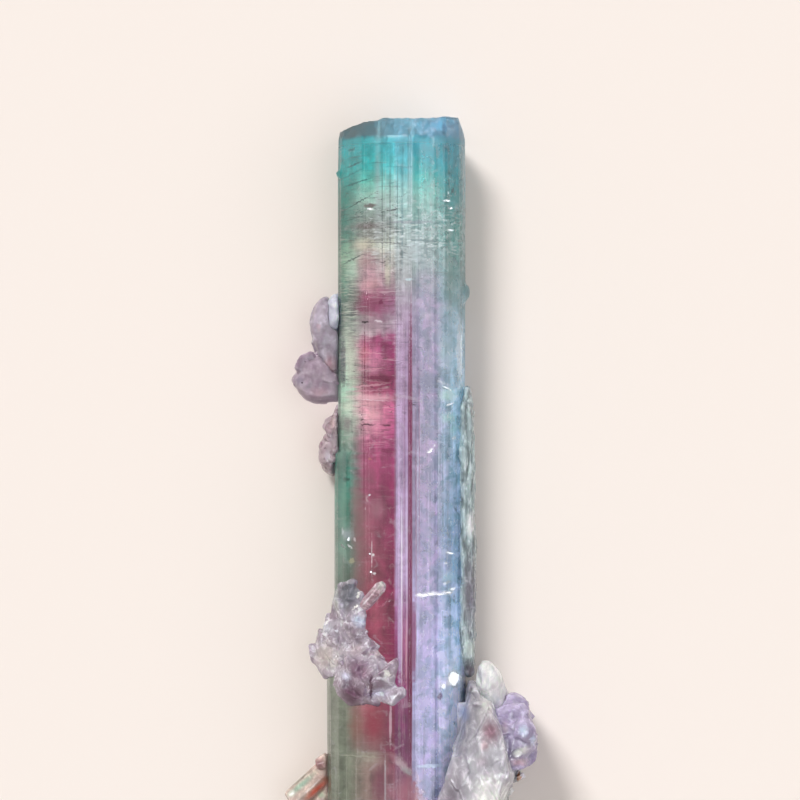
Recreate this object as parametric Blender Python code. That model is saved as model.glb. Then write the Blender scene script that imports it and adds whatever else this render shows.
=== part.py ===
"""A watermelon tourmaline crystal with the lepidolite mica and albite grown on it, lying on its flat back face.

The drawing is in millimetres: X across the prism from its axis, Y along it from the broken base end, and Z up
from the surface it lies on. At the end every piece is scaled to metres and the specimen's whole box is centred
on the origin, with its lowest point at Z = 0.
"""

import math
import random

import bmesh
import bpy
from mathutils import Euler, Matrix, Vector

MM = 0.001

# The prism. Each line gives (distance from the base end, value).
PRISM_DEPTH = 12.7
LEFT_EDGE = ((0.0, -8.5), (28.0, -8.7), (37.0, -7.8), (54.9, -7.8), (55.3, -7.35), (91.5, -7.4), (93.4, -7.22))
RIGHT_EDGE = ((0.0, 7.8), (60.0, 7.75), (91.5, 7.8), (94.0, 7.55))
RIDGE_LEFT = ((0.0, -1.8), (18.7, -1.8), (19.2, -0.3), (45.0, -0.3), (73.0, -0.75), (74.5, -3.0), (95.0, -3.0))
RIDGE_RIGHT = 1.1
STATIONS = (1.0, 8.0, 18.7, 19.2, 28.0, 32.0, 37.0, 45.0, 54.9, 55.3, 64.0, 73.0, 74.5, 82.0, 88.0, 92.3)
TOP_EDGE = (
    (-7.2, 93.35), (-5.3, 93.85), (-4.0, 94.25), (-1.9, 94.5), (-1.4, 94.6), (-0.7, 94.5), (0.5, 94.65),
    (1.9, 94.5), (4.4, 94.6), (4.95, 94.8), (7.1, 94.75), (7.4, 94.3), (7.7, 93.6),
)
TOP_BACK = 93.2
TOP_DROP = 2.3  # how far the front of the termination falls away towards its edge
TOP_FALL_STARTS = 4.0
BASE_ROUGHNESS = 0.55

CLEARANCE = 0.32  # the gap between neighbouring pieces
SEED = 4137

# Rough bodies. Each has its mineral, an outline seen from above as (X, Y), its lowest and highest point, whether
# these are measured from the prism's own surface, how broad its crown is, and how many mica books stand out of it.
CLUSTERS = {
    "lepidolite_blade": (
        "lepidolite",
        (
            (-8.8, 73.4), (-9.35, 73.4), (-9.95, 72.5), (-10.3, 71.5), (-10.6, 70.6), (-10.35, 69.6), (-10.05, 68.3),
            (-9.4, 66.5), (-8.8, 65.2), (-8.0, 64.2), (-6.6, 63.8), (-6.6, 70.6), (-8.3, 72.9),
        ),
        (0.8, 5.0), False, 0.82, 1,
    ),
    "pale_mica_blade": (
        "lepidolite",
        (
            (-7.2, 74.1), (-7.9, 73.5), (-8.4, 72.9), (-8.45, 71.4), (-8.3, 69.9), (-7.7, 69.5), (-6.4, 69.6),
            (-6.4, 73.6),
        ),
        (1.2, 5.4), False, 0.82, 0,
    ),
    "lepidolite_lobe": (
        "lepidolite",
        (
            (-9.6, 66.5), (-10.6, 66.3), (-11.4, 66.3), (-11.9, 65.3), (-12.1, 64.6), (-12.75, 63.8), (-12.5, 63.1),
            (-11.6, 62.3), (-11.1, 61.7), (-10.4, 61.3), (-9.2, 61.2), (-6.6, 61.5), (-6.6, 66.5),
        ),
        (0.3, 4.9), False, 0.78, 3,
    ),
    "lepidolite_flakes": (
        "lepidolite",
        (
            (-7.4, 60.9), (-7.8, 59.5), (-9.1, 58.25), (-8.3, 57.6), (-9.0, 56.85), (-8.3, 56.4), (-9.1, 55.9),
            (-9.5, 55.1), (-9.4, 54.2), (-8.9, 53.2), (-8.1, 52.4), (-6.6, 53.2), (-6.6, 59.6),
        ),
        (0.6, 4.7), False, 0.80, 2,
    ),
    "lepidolite_front": (
        "lepidolite",
        (
            (-6.9, 40.1), (-5.4, 40.4), (-4.4, 39.2), (-4.0, 37.4), (-4.3, 34.8), (-3.0, 33.0), (-2.2, 31.5),
            (-0.8, 30.3), (-0.4, 28.6), (0.7, 26.8), (-0.6, 25.4), (-3.4, 25.6), (-6.0, 25.0), (-7.2, 26.6),
            (-7.7, 28.5), (-8.7, 28.3), (-9.6, 29.4), (-10.3, 30.2), (-9.6, 32.1), (-9.4, 33.9), (-8.1, 35.9),
            (-7.8, 39.2),
        ),
        (-1.6, 1.6), True, 0.66, 9,
    ),
    "mica_crust": (
        "lepidolite",
        (
            (6.9, 63.2), (8.1, 63.0), (8.45, 60.0), (8.6, 55.0), (8.65, 47.0), (8.85, 44.4), (8.65, 42.4),
            (8.65, 36.0), (8.6, 31.2), (8.5, 28.5), (6.9, 28.5),
        ),
        (1.8, 8.4), False, 0.85, 0,
    ),
    "albite_mass": (
        "albite",
        (
            (8.2, 28.2), (8.9, 27.9), (9.4, 26.6), (10.6, 25.8), (11.8, 23.2), (12.6, 19.8), (13.0, 17.8),
            (13.4, 17.0), (12.6, 15.6), (11.9, 13.8), (11.2, 11.0), (9.4, 8.2), (6.6, 7.6), (4.3, 9.0), (4.2, 13.7),
            (5.0, 16.3), (6.0, 18.9), (7.1, 22.0), (7.8, 25.8),
        ),
        (0.0, 12.3), False, 0.84, 0,
    ),
    "lepidolite_right": (
        "lepidolite",
        (
            (12.2, 25.0), (13.2, 25.9), (14.3, 25.4), (14.9, 24.2), (15.8, 22.8), (16.0, 22.0), (15.7, 19.9),
            (15.1, 18.8), (14.2, 17.9), (12.4, 17.7), (11.0, 19.4), (10.9, 22.8), (11.2, 24.4),
        ),
        (1.2, 9.0), False, 0.82, 4,
    ),
}  # fmt: skip

# Straight crystals that grew together: the two ends of each, its radii as (share of the length, radius), and
# how many sides it has.
CRYSTALS = {
    "clear_crystal": (
        "quartz",
        [((-4.3, 37.0, 11.7), (-1.9, 39.9, 13.0), ((0.0, 0.6), (0.2, 0.72), (0.85, 0.7), (1.0, 0.35)), 6)],
    ),
    "quartz_crystal": (
        "quartz",
        [((12.3, 23.4, 4.6), (9.9, 30.0, 7.4), ((0.0, 1.2), (0.2, 1.5), (0.76, 1.35), (1.0, 0.55)), 6)],
    ),
    "small_tourmalines": (
        "tourmaline",
        [
            ((-6.9, 19.0, 3.6), (-12.9, 13.4, 2.7), ((0.0, 1.25), (0.05, 1.35), (0.97, 1.35), (1.0, 1.2)), 9),
            ((-6.9, 16.8, 3.2), (-10.9, 12.2, 2.2), ((0.0, 0.9), (0.95, 0.95), (1.0, 0.7)), 9),
            ((-7.4, 18.7, 4.4), (-9.9, 17.9, 4.2), ((0.0, 1.0), (0.55, 1.05), (1.0, 0.65)), 7),
        ],
    ),
}

# Each piece, and the neighbours that it is cut back from.
PIECES = {
    "pale_mica_blade": (),
    "lepidolite_blade": ("pale_mica_blade",),
    "lepidolite_lobe": ("lepidolite_blade",),
    "lepidolite_flakes": ("lepidolite_lobe",),
    "clear_crystal": (),
    "lepidolite_front": ("clear_crystal",),
    "lepidolite_right": (),
    "quartz_crystal": ("lepidolite_right",),
    "mica_crust": ("quartz_crystal",),
    "albite_mass": ("lepidolite_right", "quartz_crystal", "mica_crust"),
    "small_tourmalines": (),
}

BOOK_RADIUS = (0.7, 1.5)
BOOK_THICKNESS = (0.25, 0.6)
BOOK_SIDES = 6
# The rings of a rough body: (share of its height, share of the way from the crown's breadth to the full breadth).
LUMP_RINGS = ((0.0, 0.4), (0.2, 0.9), (0.5, 1.0), (0.8, 0.8), (1.0, 0.0))
DOME_BREADTH = 0.5  # of the crown's
DOME_RISE = 0.35
DOME_JITTER = 0.3
RIM_HEIGHT = 6.0  # where a body that laps over the prism's left rim starts to hang down
RIM_FALL = 0.9
LUMP_JITTER = 0.12

COLOURS = {
    "tourmaline": ((0.45, 0.18, 0.30, 1.0), 0.15),
    "lepidolite": ((0.42, 0.35, 0.47, 1.0), 0.35),
    "albite": ((0.72, 0.70, 0.72, 1.0), 0.40),
    "quartz": ((0.80, 0.82, 0.85, 1.0), 0.12),
}


def between(table, at):
    """The value at a place along a table of (place, value), in straight lines from point to point."""
    if at <= table[0][0]:
        return table[0][1]
    for (start, first), (end, second) in zip(table, table[1:]):
        if at <= end:
            return first + (second - first) * (at - start) / (end - start)
    return table[-1][1]


def profile(y, swell=0.0):
    """The prism's cross-section at y, as (X, Z) corners from the back left over the ridge to the back right."""
    left = between(LEFT_EDGE, y) - swell
    right = between(RIGHT_EDGE, y) + swell
    ridge_left = between(RIDGE_LEFT, y)
    depth = PRISM_DEPTH + swell

    def ridge_height(x):
        return depth - 0.08 * (x - RIDGE_RIGHT) ** 2

    ridge = [ridge_left + (RIDGE_RIGHT - ridge_left) * share for share in (0.0, 0.36, 0.7, 1.0)]
    rim = Vector((left + 1.5, 8.2 + swell))
    bulge = (rim + Vector((ridge_left, ridge_height(ridge_left)))) / 2 + Vector((-0.15, 0.2))
    return [
        (left + 2.2, 0.0), (left + 0.6, 2.0), (left, 4.6), (left + 0.45, 6.6), tuple(rim), tuple(bulge),
        *[(x, ridge_height(x)) for x in ridge],
        (1.35, depth - 0.25), (1.65, depth - 0.1), (2.05, depth - 0.25), (3.7, depth - 0.95), (5.45, depth - 2.0),
        (7.0 + swell, 8.3 + swell), (right, 5.4), (right - 0.35, 2.2), (right - 1.8, 0.0),
    ]  # fmt: skip


def termination_ring():
    """The outline of the flat top, where the front of the prism has fallen away."""
    ring = []
    for x, z in profile(94.0):
        share = max(0.0, z - TOP_FALL_STARTS) / (PRISM_DEPTH - TOP_FALL_STARTS)
        y = TOP_BACK + (between(TOP_EDGE, x) - TOP_BACK) * min(1.0, 2 * share)
        ring.append(Vector((x * 0.99, y, z - TOP_DROP * share)))
    return ring


def base_ring(dice):
    """The uneven outline of the broken base end."""
    return [Vector((x, dice.uniform(0.0, BASE_ROUGHNESS), z)) for x, z in profile(0.0)]


def loft(bm, rings):
    """Skins a row of rings that have the same number of points, and closes both ends with a fan."""
    loops = [[bm.verts.new(point) for point in ring] for ring in rings]
    count = len(loops[0])
    for lower, upper in zip(loops, loops[1:]):
        for i in range(count):
            j = (i + 1) % count
            bm.faces.new((lower[i], lower[j], upper[j], upper[i]))
    for loop in (loops[0], loops[-1]):
        centre = bm.verts.new(sum((vert.co for vert in loop), Vector()) / count)
        for i in range(count):
            bm.faces.new((loop[i], loop[(i + 1) % count], centre))


def named_material(kind):
    material = bpy.data.materials.get(kind)
    if material is None:
        colour, roughness = COLOURS[kind]
        material = bpy.data.materials.new(kind)
        material.use_nodes = True
        shader = material.node_tree.nodes["Principled BSDF"]
        shader.inputs["Base Color"].default_value = colour
        shader.inputs["Roughness"].default_value = roughness
        shader.inputs["Metallic"].default_value = 0.0
    return material


def new_object(name, bm, kind):
    bmesh.ops.triangulate(bm, faces=bm.faces)
    bmesh.ops.recalc_face_normals(bm, faces=bm.faces)
    mesh = bpy.data.meshes.new(name)
    bm.to_mesh(mesh)
    bm.free()
    mesh.materials.append(named_material(kind))
    obj = bpy.data.objects.new(name, mesh)
    bpy.context.scene.collection.objects.link(obj)
    return obj


def combine(obj, tool, operation):
    """Applies one Boolean to obj with a helper object."""
    modifier = obj.modifiers.new(operation.title(), "BOOLEAN")
    modifier.operation = operation
    modifier.object = tool
    graph = bpy.context.evaluated_depsgraph_get()
    result = bpy.data.meshes.new_from_object(obj.evaluated_get(graph))
    obj.modifiers.clear()
    obj.data = result


def remove(helper):
    bpy.data.objects.remove(helper)


def join(obj, other):
    combine(obj, other, "UNION")
    remove(other)


def prism(name, swell=0.0):
    dice = random.Random(SEED)
    rings = [base_ring(dice)]
    rings += [[Vector((x, y, z)) for x, z in profile(y, swell)] for y in STATIONS]
    rings.append(termination_ring())
    bm = bmesh.new()
    loft(bm, rings)
    return new_object(name, bm, "tourmaline")


def clearance_prism():
    """The prism grown by the gap that its neighbours keep from it, which cuts them to fit."""
    rings = [[Vector((x, y, z)) for x, z in profile(y, CLEARANCE)] for y in (-2.0, *STATIONS, 97.0)]
    bm = bmesh.new()
    loft(bm, rings)
    return new_object("clearance", bm, "tourmaline")


def keep_largest_shell(obj):
    """Drops the loose chips and sealed pockets that cutting leaves."""
    bm = bmesh.new()
    bm.from_mesh(obj.data)
    waiting = set(bm.verts)
    shells = []
    while waiting:
        shell = {waiting.pop()}
        edge_of_shell = list(shell)
        while edge_of_shell:
            vert = edge_of_shell.pop()
            for neighbour in (edge.other_vert(vert) for edge in vert.link_edges):
                if neighbour not in shell:
                    shell.add(neighbour)
                    edge_of_shell.append(neighbour)
        waiting -= shell
        shells.append(shell)
    largest = max(shells, key=len)
    bmesh.ops.delete(bm, geom=[vert for vert in bm.verts if vert not in largest], context="VERTS")
    bm.to_mesh(obj.data)
    bm.free()


def middle_of(outline):
    return Vector((sum(x for x, _ in outline), sum(y for _, y in outline))) / len(outline)


def surface_height(x, y):
    """The height of the prism's upper surface, which carries on downwards past its left rim."""
    upper = profile(y)[3:16]
    if x < upper[0][0]:
        return RIM_HEIGHT - RIM_FALL * (upper[0][0] - x)
    return between(upper, x)


def levels(cluster, x, y):
    """The lowest and highest point of a rough body at (x, y)."""
    _, _, (low, high), on_prism, _, _ = cluster
    ground = surface_height(x, y) if on_prism else 0.0
    return ground + low, ground + high


def lump(cluster, dice, swell):
    """A rough body with the given outline from above, narrower at its foot and its crown."""
    kind, outline, _, _, crown, _ = cluster
    middle = middle_of(outline)
    rings = []
    for share, breadth in LUMP_RINGS:
        ring = []
        for corner in outline:
            reach = (Vector(corner) - middle) * (crown + (1.0 - crown) * breadth)
            x, y = middle + reach + reach.normalized() * swell
            low, high = levels(cluster, x, y)
            height = low - swell + (high - low + 2 * swell) * share
            shake = Vector([dice.uniform(-LUMP_JITTER, LUMP_JITTER) for _ in range(3)])
            if share == 0.0:
                shake.z = 0.0
            ring.append(Vector((x, y, height)) + shake)
        rings.append(ring)
    crest = sum(rings[-1], Vector()) / len(outline)
    dome = [crest.lerp(point, DOME_BREADTH) for point in rings[-1]]
    rings.append([point + Vector((0, 0, DOME_RISE + dice.uniform(-DOME_JITTER, DOME_JITTER))) for point in dome])
    bm = bmesh.new()
    loft(bm, rings)
    return new_object("lump", bm, kind)


def straight_crystal(kind, crystal, swell):
    """A prism with the given number of sides between two points, tapering as its table of radii says."""
    start, end, radii, sides = crystal
    start, end = Vector(start), Vector(end)
    along = (end - start).normalized() * swell
    turn = (end - start).to_track_quat("Z", "Y")
    rings = []
    for share, radius in radii:
        centre = (start - along).lerp(end + along, share)
        angles = [2 * math.pi * i / sides for i in range(sides)]
        reach = radius + swell
        rings.append([centre + turn @ Vector((reach * math.cos(a), reach * math.sin(a), 0)) for a in angles])
    bm = bmesh.new()
    loft(bm, rings)
    return new_object("crystal", bm, kind)


def mica_book(centre, radius, thickness, tilt, dice):
    """One thick flake of mica: a slightly uneven hexagon."""
    turn = Euler(tilt).to_matrix()
    reaches = [[radius * dice.uniform(0.85, 1.15) for _ in range(BOOK_SIDES)] for _ in range(2)]
    rings = []
    for side, row in zip((-0.5, 0.5), reaches):
        ring = []
        for i, reach in enumerate(row):
            angle = 2 * math.pi * i / BOOK_SIDES
            ring.append(centre + turn @ Vector((reach * math.cos(angle), reach * math.sin(angle), side * thickness)))
        rings.append(ring)
    bm = bmesh.new()
    loft(bm, rings)
    return new_object("book", bm, "lepidolite")


def add_books(obj, cluster, dice, swell):
    """Joins mica books to a cluster, near its upper surface and inside its outline."""
    _, outline, _, _, _, count = cluster
    middle = middle_of(outline)
    for _ in range(count):
        corner = Vector(dice.choice(outline))
        x, y = middle.lerp(corner, dice.uniform(0.15, 0.78))
        z = levels(cluster, x, y)[1] - dice.uniform(0.3, 1.3)
        tilt = (dice.uniform(-0.9, 0.9), dice.uniform(-0.9, 0.9), dice.uniform(0.0, math.pi))
        radius = dice.uniform(*BOOK_RADIUS) + swell
        thickness = dice.uniform(*BOOK_THICKNESS) + 2 * swell
        join(obj, mica_book(Vector((x, y, z)), radius, thickness, tilt, dice))


def whole_body(name, swell=0.0):
    """A piece before it is cut back from its neighbours, grown by swell all round."""
    if name in CRYSTALS:
        kind, crystals = CRYSTALS[name]
        obj = straight_crystal(kind, crystals[0], swell)
        for crystal in crystals[1:]:
            join(obj, straight_crystal(kind, crystal, swell))
    else:
        cluster = CLUSTERS[name]
        dice = random.Random(name)
        obj = lump(cluster, dice, swell)
        add_books(obj, cluster, dice, swell)
    obj.name = name
    return obj


def build_pieces():
    clearance = clearance_prism()
    pieces = [prism("tourmaline_prism")]
    for name, neighbours in PIECES.items():
        piece = whole_body(name)
        combine(piece, clearance, "DIFFERENCE")
        for neighbour in neighbours:
            grown = whole_body(neighbour, CLEARANCE)
            combine(piece, grown, "DIFFERENCE")
            remove(grown)
        keep_largest_shell(piece)
        piece.name = name
        pieces.append(piece)
    remove(clearance)
    return pieces


def place_on_origin(pieces):
    """Scales the pieces to metres and moves them together, so that the whole box is centred over the origin."""
    corners = [vert.co for piece in pieces for vert in piece.data.vertices]
    lowest = Vector([min(corner[axis] for corner in corners) for axis in range(3)])
    highest = Vector([max(corner[axis] for corner in corners) for axis in range(3)])
    foot = Vector(((lowest.x + highest.x) / 2, (lowest.y + highest.y) / 2, lowest.z))
    move = Matrix.Scale(MM, 4) @ Matrix.Translation(-foot)
    for piece in pieces:
        piece.data.transform(move)


def main():
    for obj in list(bpy.data.objects):
        bpy.data.objects.remove(obj)
    place_on_origin(build_pieces())


main()
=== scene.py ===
"""The looks of a watermelon tourmaline specimen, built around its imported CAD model.

Places are written in millimetres in the drawing frame that part.py uses: X across the prism from its axis,
Y along it from its broken base, and Z up from the surface it lies on. spot() turns them into metres in the
frame.
"""

import math

import bpy
import numpy as np
from mathutils import Euler, Matrix, Vector, noise
from mathutils.bvhtree import BVHTree
from mathutils.kdtree import KDTree


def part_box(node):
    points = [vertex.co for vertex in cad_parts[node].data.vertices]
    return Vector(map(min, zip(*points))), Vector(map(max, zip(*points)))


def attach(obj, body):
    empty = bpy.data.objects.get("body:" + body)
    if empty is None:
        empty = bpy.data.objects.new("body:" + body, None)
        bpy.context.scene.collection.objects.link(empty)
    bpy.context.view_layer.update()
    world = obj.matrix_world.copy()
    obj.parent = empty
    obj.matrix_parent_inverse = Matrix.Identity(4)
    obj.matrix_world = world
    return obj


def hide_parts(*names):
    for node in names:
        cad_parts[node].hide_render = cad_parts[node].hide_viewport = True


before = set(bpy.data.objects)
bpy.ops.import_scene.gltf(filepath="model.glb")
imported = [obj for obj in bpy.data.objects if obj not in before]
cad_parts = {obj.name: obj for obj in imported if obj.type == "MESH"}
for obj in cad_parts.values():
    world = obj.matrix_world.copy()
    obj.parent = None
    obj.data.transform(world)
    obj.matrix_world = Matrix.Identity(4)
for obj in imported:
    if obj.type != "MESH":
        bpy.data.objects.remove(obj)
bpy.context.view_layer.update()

MM = 0.001
PRISM = "tourmaline_prism"
prism_low, prism_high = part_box(PRISM)
PRISM_LEFT = -8.7  # the prism's left-most point in the drawing
AXIS_X = prism_low.x - PRISM_LEFT * MM
BASE_Y = prism_low.y
LENGTH = (prism_high.y - prism_low.y) / MM
CORE_X, CORE_Z = 0.3, 5.4  # the centre that the prism's sections are measured from
CORE = np.array([CORE_X, CORE_Z])

# The photo and the camera that took it.
PHOTO_SIDE = 800  # pixels
PIXELS_PER_MM = 8.4
BASE_ROW = 915  # the row where the drawing's Y is 0, below the photo's last
LENS, SENSOR_WIDTH = 180.0, 36.0
FRAME_WIDTH = PHOTO_SIDE / PIXELS_PER_MM
FRAME_CENTRE_Y = (BASE_ROW - PHOTO_SIDE / 2) / PIXELS_PER_MM
SILHOUETTE_HEIGHT = 4.6  # where the prism is widest, and its size in the photo is true
SEEN_LARGER = 1.011  # how much larger the upper surface looks, since it is nearer to the lens


def spot(x, y, z):
    return Vector((AXIS_X + x * MM, BASE_Y + y * MM, z * MM))


def srgb(red, green, blue):
    """A colour given as 0 to 255 on a screen, as linear light."""
    levels = [c / 255 for c in (red, green, blue)]
    return tuple(((c + 0.055) / 1.055) ** 2.4 if c > 10 / 255 else c / 12.92 for c in levels)


# ---------------------------------------------------------------- materials

CLEAR = (1.0, 1.0, 1.0)
EVEN = (1.0, 1.0, 1.0)  # a pattern that isn't drawn out
TOURMALINE_IOR, MICA_IOR = 1.62, 1.54
BUMP_HEIGHT = 0.05 * MM


class Graph:
    """Short calls that add nodes to a material or a world. Inputs are numbers, tuples or nodes' sockets."""

    def __init__(self, owner):
        owner.use_nodes = True
        self.tree = owner.node_tree
        self.tree.nodes.clear()

    def add(self, kind, *inputs, output=0, named=None, **settings):
        """Adds a node and returns one of its outputs, if it has any. An input of None is left as it is."""
        node = self.tree.nodes.new(kind)
        for key, value in settings.items():
            setattr(node, key, value)
        for index, value in [*enumerate(inputs), *(named or {}).items()]:
            if isinstance(value, bpy.types.NodeSocket):
                self.tree.links.new(value, node.inputs[index])
            elif value is not None:
                node.inputs[index].default_value = value
        return node.outputs[output] if len(node.outputs) else None

    def math(self, operation, *values):
        return self.add("ShaderNodeMath", *values, operation=operation)

    def times(self, product, *others):
        """The values multiplied together."""
        for other in others:
            product = self.math("MULTIPLY", product, other)
        return product

    def line(self, value, slope, start):
        """value times slope, plus start."""
        return self.math("MULTIPLY_ADD", value, slope, start)

    def waver(self, value, pattern, reach):
        """The value, pushed up to half of reach either way by a pattern that runs from 0 to 1."""
        return self.line(self.math("SUBTRACT", pattern, 0.5), reach, value)

    def vector(self, operation, *inputs, output=0):
        return self.add("ShaderNodeVectorMath", *inputs, operation=operation, output=output)

    def parts(self, vector):
        """The vector's X, Y and Z."""
        return self.add("ShaderNodeSeparateXYZ", vector).node.outputs

    def mix(self, factor, first, second, blend="MIX"):
        inputs = {0: factor, 6: colour(first), 7: colour(second)}
        return self.add("ShaderNodeMix", named=inputs, output=2, data_type="RGBA", blend_type=blend)

    def scaled(self, shade, gain):
        """The colour times gain, by a node that takes colours, so that Cycles adds none of its own."""
        return self.add("ShaderNodeHueSaturation", 0.5, 1.0, gain, 1.0, shade)

    def smooth(self, value, low, high):
        """0 below low, 1 above high, and a soft step between. It falls where low is above high."""
        ends = (1.0, 0.0) if low > high else (0.0, 1.0)
        return self.stepped(value, min(low, high), max(low, high), *ends)

    def stepped(self, value, *limits):
        """A smooth step between limits. It never overshoots, so that it needs no clamp."""
        return self.add("ShaderNodeMapRange", value, *limits, interpolation_type="SMOOTHSTEP", clamp=False)

    def band(self, value, low, high, soft):
        rise = self.smooth(value, low - soft, low + soft)
        return self.times(rise, self.smooth(value, high + soft, high - soft))

    def ramp(self, value, stops):
        """A colour ramp over stops of (place, colour as on a screen). The places may lie anywhere."""
        low, high = stops[0][0], stops[-1][0]
        share = self.add("ShaderNodeMapRange", value, low, high, 0.0, 1.0, clamp=False)
        node = self.tree.nodes.new("ShaderNodeValToRGB")
        self.tree.links.new(share, node.inputs[0])
        elements = node.color_ramp.elements
        while len(elements) < len(stops):
            elements.new(0.5)
        for element, (place, shade) in zip(elements, stops):
            element.position = (place - low) / (high - low)
            element.color = colour(srgb(*shade))
        return node.outputs[0]

    def noise(self, place, scale, detail=3.0, roughness=0.55, distortion=0.0):
        """A noise from 0 to 1. A scale of three parts draws it out along an axis."""
        if isinstance(scale, tuple):
            place, scale = self.stretch(place, *scale), 1.0
        names = ("Vector", "Scale", "Detail", "Roughness", "Distortion")
        values = (place, scale, detail, roughness, distortion)
        return self.add("ShaderNodeTexNoise", named=dict(zip(names, values)))

    def noise_vector(self, place, scale):
        """A separate noise from 0 to 1 in each part of a vector."""
        return self.add("ShaderNodeTexNoise", place, None, scale, 3.0, output=1)

    def stretch(self, vector, x, y, z):
        """The vector with its parts scaled, so that a texture is drawn out along an axis."""
        return self.add("ShaderNodeMapping", named={"Vector": vector, "Scale": (x, y, z)})

    def bump(self, height, strength):
        named = {"Height": height, "Strength": strength, "Distance": BUMP_HEIGHT}
        return self.add("ShaderNodeBump", named=named)


def colour(value):
    if isinstance(value, tuple) and len(value) == 3:
        return (*value, 1.0)
    return value


def drawing_place(g):
    """The shaded point in the drawing frame, in millimetres, and its X, Y and Z."""
    place = g.add("ShaderNodeTexCoord", output=3)
    start = (-AXIS_X / MM, -BASE_Y / MM, 0.0)
    scaled = g.add("ShaderNodeMapping", named={"Vector": place, "Scale": (1 / MM,) * 3, "Location": start})
    return (scaled, *g.parts(scaled))


def new_material(name):
    """A material with its graph, and the shaded point with its X, Y and Z in the drawing."""
    material = bpy.data.materials.new(name)
    g = Graph(material)
    return (material, g, *drawing_place(g))


def finish_material(g, inputs, absorption=None):
    """Adds the Principled shader, with some inputs given by name, and a plain volume where there is one."""
    named = {**inputs, "Base Color": colour(inputs["Base Color"])}
    surface = g.add("ShaderNodeBsdfPrincipled", named=named)
    volume = None
    if absorption:
        shade, density = absorption
        volume = g.add("ShaderNodeVolumeAbsorption", colour(shade), density / MM)
    g.add("ShaderNodeOutputMaterial", surface, volume)


# Columns of colour, side by side across the prism as the camera sees it. Each is a list of Y and the colour
# there.
RIM = (
    (0, (120, 132, 116)), (14, (124, 134, 116)), (28, (136, 146, 130)), (38, (116, 142, 126)),
    (46, (104, 152, 138)), (52, (62, 160, 140)), (56, (112, 160, 140)), (62, (190, 232, 208)),
    (68, (184, 208, 190)), (71, (82, 112, 104)), (75, (84, 146, 126)), (78, (142, 190, 162)),
    (81, (52, 130, 116)), (85.5, (20, 138, 126)), (89, (0, 172, 172)), (92, (0, 166, 172)),
)  # fmt: skip
WINDOW = (
    (0, (150, 120, 112)), (14, (146, 126, 120)), (17.5, (150, 128, 122)), (18.8, (164, 158, 146)),
    (20, (142, 116, 116)), (26, (172, 96, 112)), (34, (170, 84, 108)), (40, (160, 84, 104)),
    (47, (164, 92, 118)), (52, (170, 74, 118)), (56, (184, 94, 138)), (59.5, (236, 182, 200)),
    (61.5, (214, 138, 166)), (63.2, (150, 58, 98)), (65.5, (216, 146, 178)), (68.6, (190, 92, 142)),
    (69.6, (204, 192, 198)), (70.6, (172, 152, 162)), (72, (160, 66, 114)), (73.8, (172, 92, 128)),
    (75.2, (208, 164, 180)), (78, (194, 164, 172)), (79.6, (222, 226, 206)), (81, (146, 146, 142)),
    (83, (156, 170, 164)), (85.2, (172, 206, 194)), (87.2, (110, 196, 184)), (88.8, (52, 186, 186)),
    (92, (50, 178, 184)),
)  # fmt: skip
HEART = (
    (0, (150, 98, 114)), (14, (146, 98, 116)), (19, (128, 48, 82)), (30, (126, 24, 76)),
    (40, (134, 34, 80)), (50, (146, 50, 100)), (56, (160, 60, 116)), (60, (204, 106, 154)),
    (63, (144, 40, 94)), (68.6, (168, 60, 124)), (70.4, (172, 160, 176)), (73, (154, 90, 130)),
    (76, (180, 166, 170)), (80, (206, 216, 206)), (82, (166, 176, 174)), (86.4, (172, 212, 206)),
    (89, (96, 200, 204)), (92, (76, 184, 198)),
)  # fmt: skip
# The ridge: its pale lavender from Y 36 to 72 is partly its own colour and partly a painted reflection on the
# narrow face.
RIDGE = (
    (0, (140, 104, 124)), (16, (122, 76, 104)), (21, (108, 44, 88)), (28, (130, 50, 102)),
    (33, (138, 60, 114)), (36.5, (156, 104, 152)), (40, (174, 152, 190)), (46, (174, 156, 190)),
    (54, (168, 146, 182)), (62, (168, 146, 178)), (68, (166, 144, 174)), (72, (168, 152, 174)),
    (76, (172, 176, 180)), (81, (162, 180, 180)), (86, (164, 204, 202)), (89, (96, 184, 194)),
    (92, (90, 168, 186)),
)  # fmt: skip
SATIN = (
    (0, (160, 158, 192)), (18, (162, 160, 194)), (25, (166, 166, 200)), (33, (172, 170, 204)),
    (42, (168, 158, 190)), (47, (162, 152, 182)), (54, (160, 150, 176)), (67, (160, 150, 176)),
    (73, (158, 152, 172)), (77, (150, 166, 166)), (82.5, (128, 170, 166)), (85.5, (124, 180, 172)),
    (88, (50, 172, 170)), (90, (0, 158, 170)), (92, (0, 146, 164)),
)  # fmt: skip
# The right edge: its blue-teal is painted lighter than its own colour, as painted light that makes up for the
# shade on a face turned from the key light, and near white at the base, where the albite mass shades it.
EDGE = (
    (0, (236, 248, 255)), (26, (232, 248, 255)), (33, (206, 234, 248)), (44, (176, 206, 222)),
    (54, (184, 218, 228)), (62, (190, 228, 236)), (67, (178, 214, 222)), (70, (170, 206, 210)),
    (76, (122, 172, 166)), (82, (66, 156, 152)), (88, (0, 150, 160)), (92, (20, 148, 166)),
)  # fmt: skip
# Where each column gives way to the next: how far across, half the width of the change, and its waver.
COLUMN_EDGES = ((-5.3, 1.6, 1.8), (-2.2, 1.8, 1.4), (-0.55, 0.16, 0.15), (1.5, 0.2, 0.1), (5.2, 1.5, 1.6))

# The blue cap on the termination: where it starts, half the width of the change, and its colours across.
CAP_LINE, CAP_HALF = 92.5, 0.22
LEFT_CAP, MIDDLE_CAP, RIGHT_CAP, CAP_MOTTLE = (0, 90, 104), (80, 146, 168), (84, 146, 174), (146, 178, 204)

# The broken end: the share of the way out from its middle, and the colour there.
SLICE = (
    (0.0, (196, 84, 128)), (0.5, (206, 96, 138)), (0.66, (232, 190, 196)), (0.76, (220, 226, 200)),
    (0.86, (120, 170, 136)), (1.0, (92, 150, 120)),
)  # fmt: skip
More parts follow.
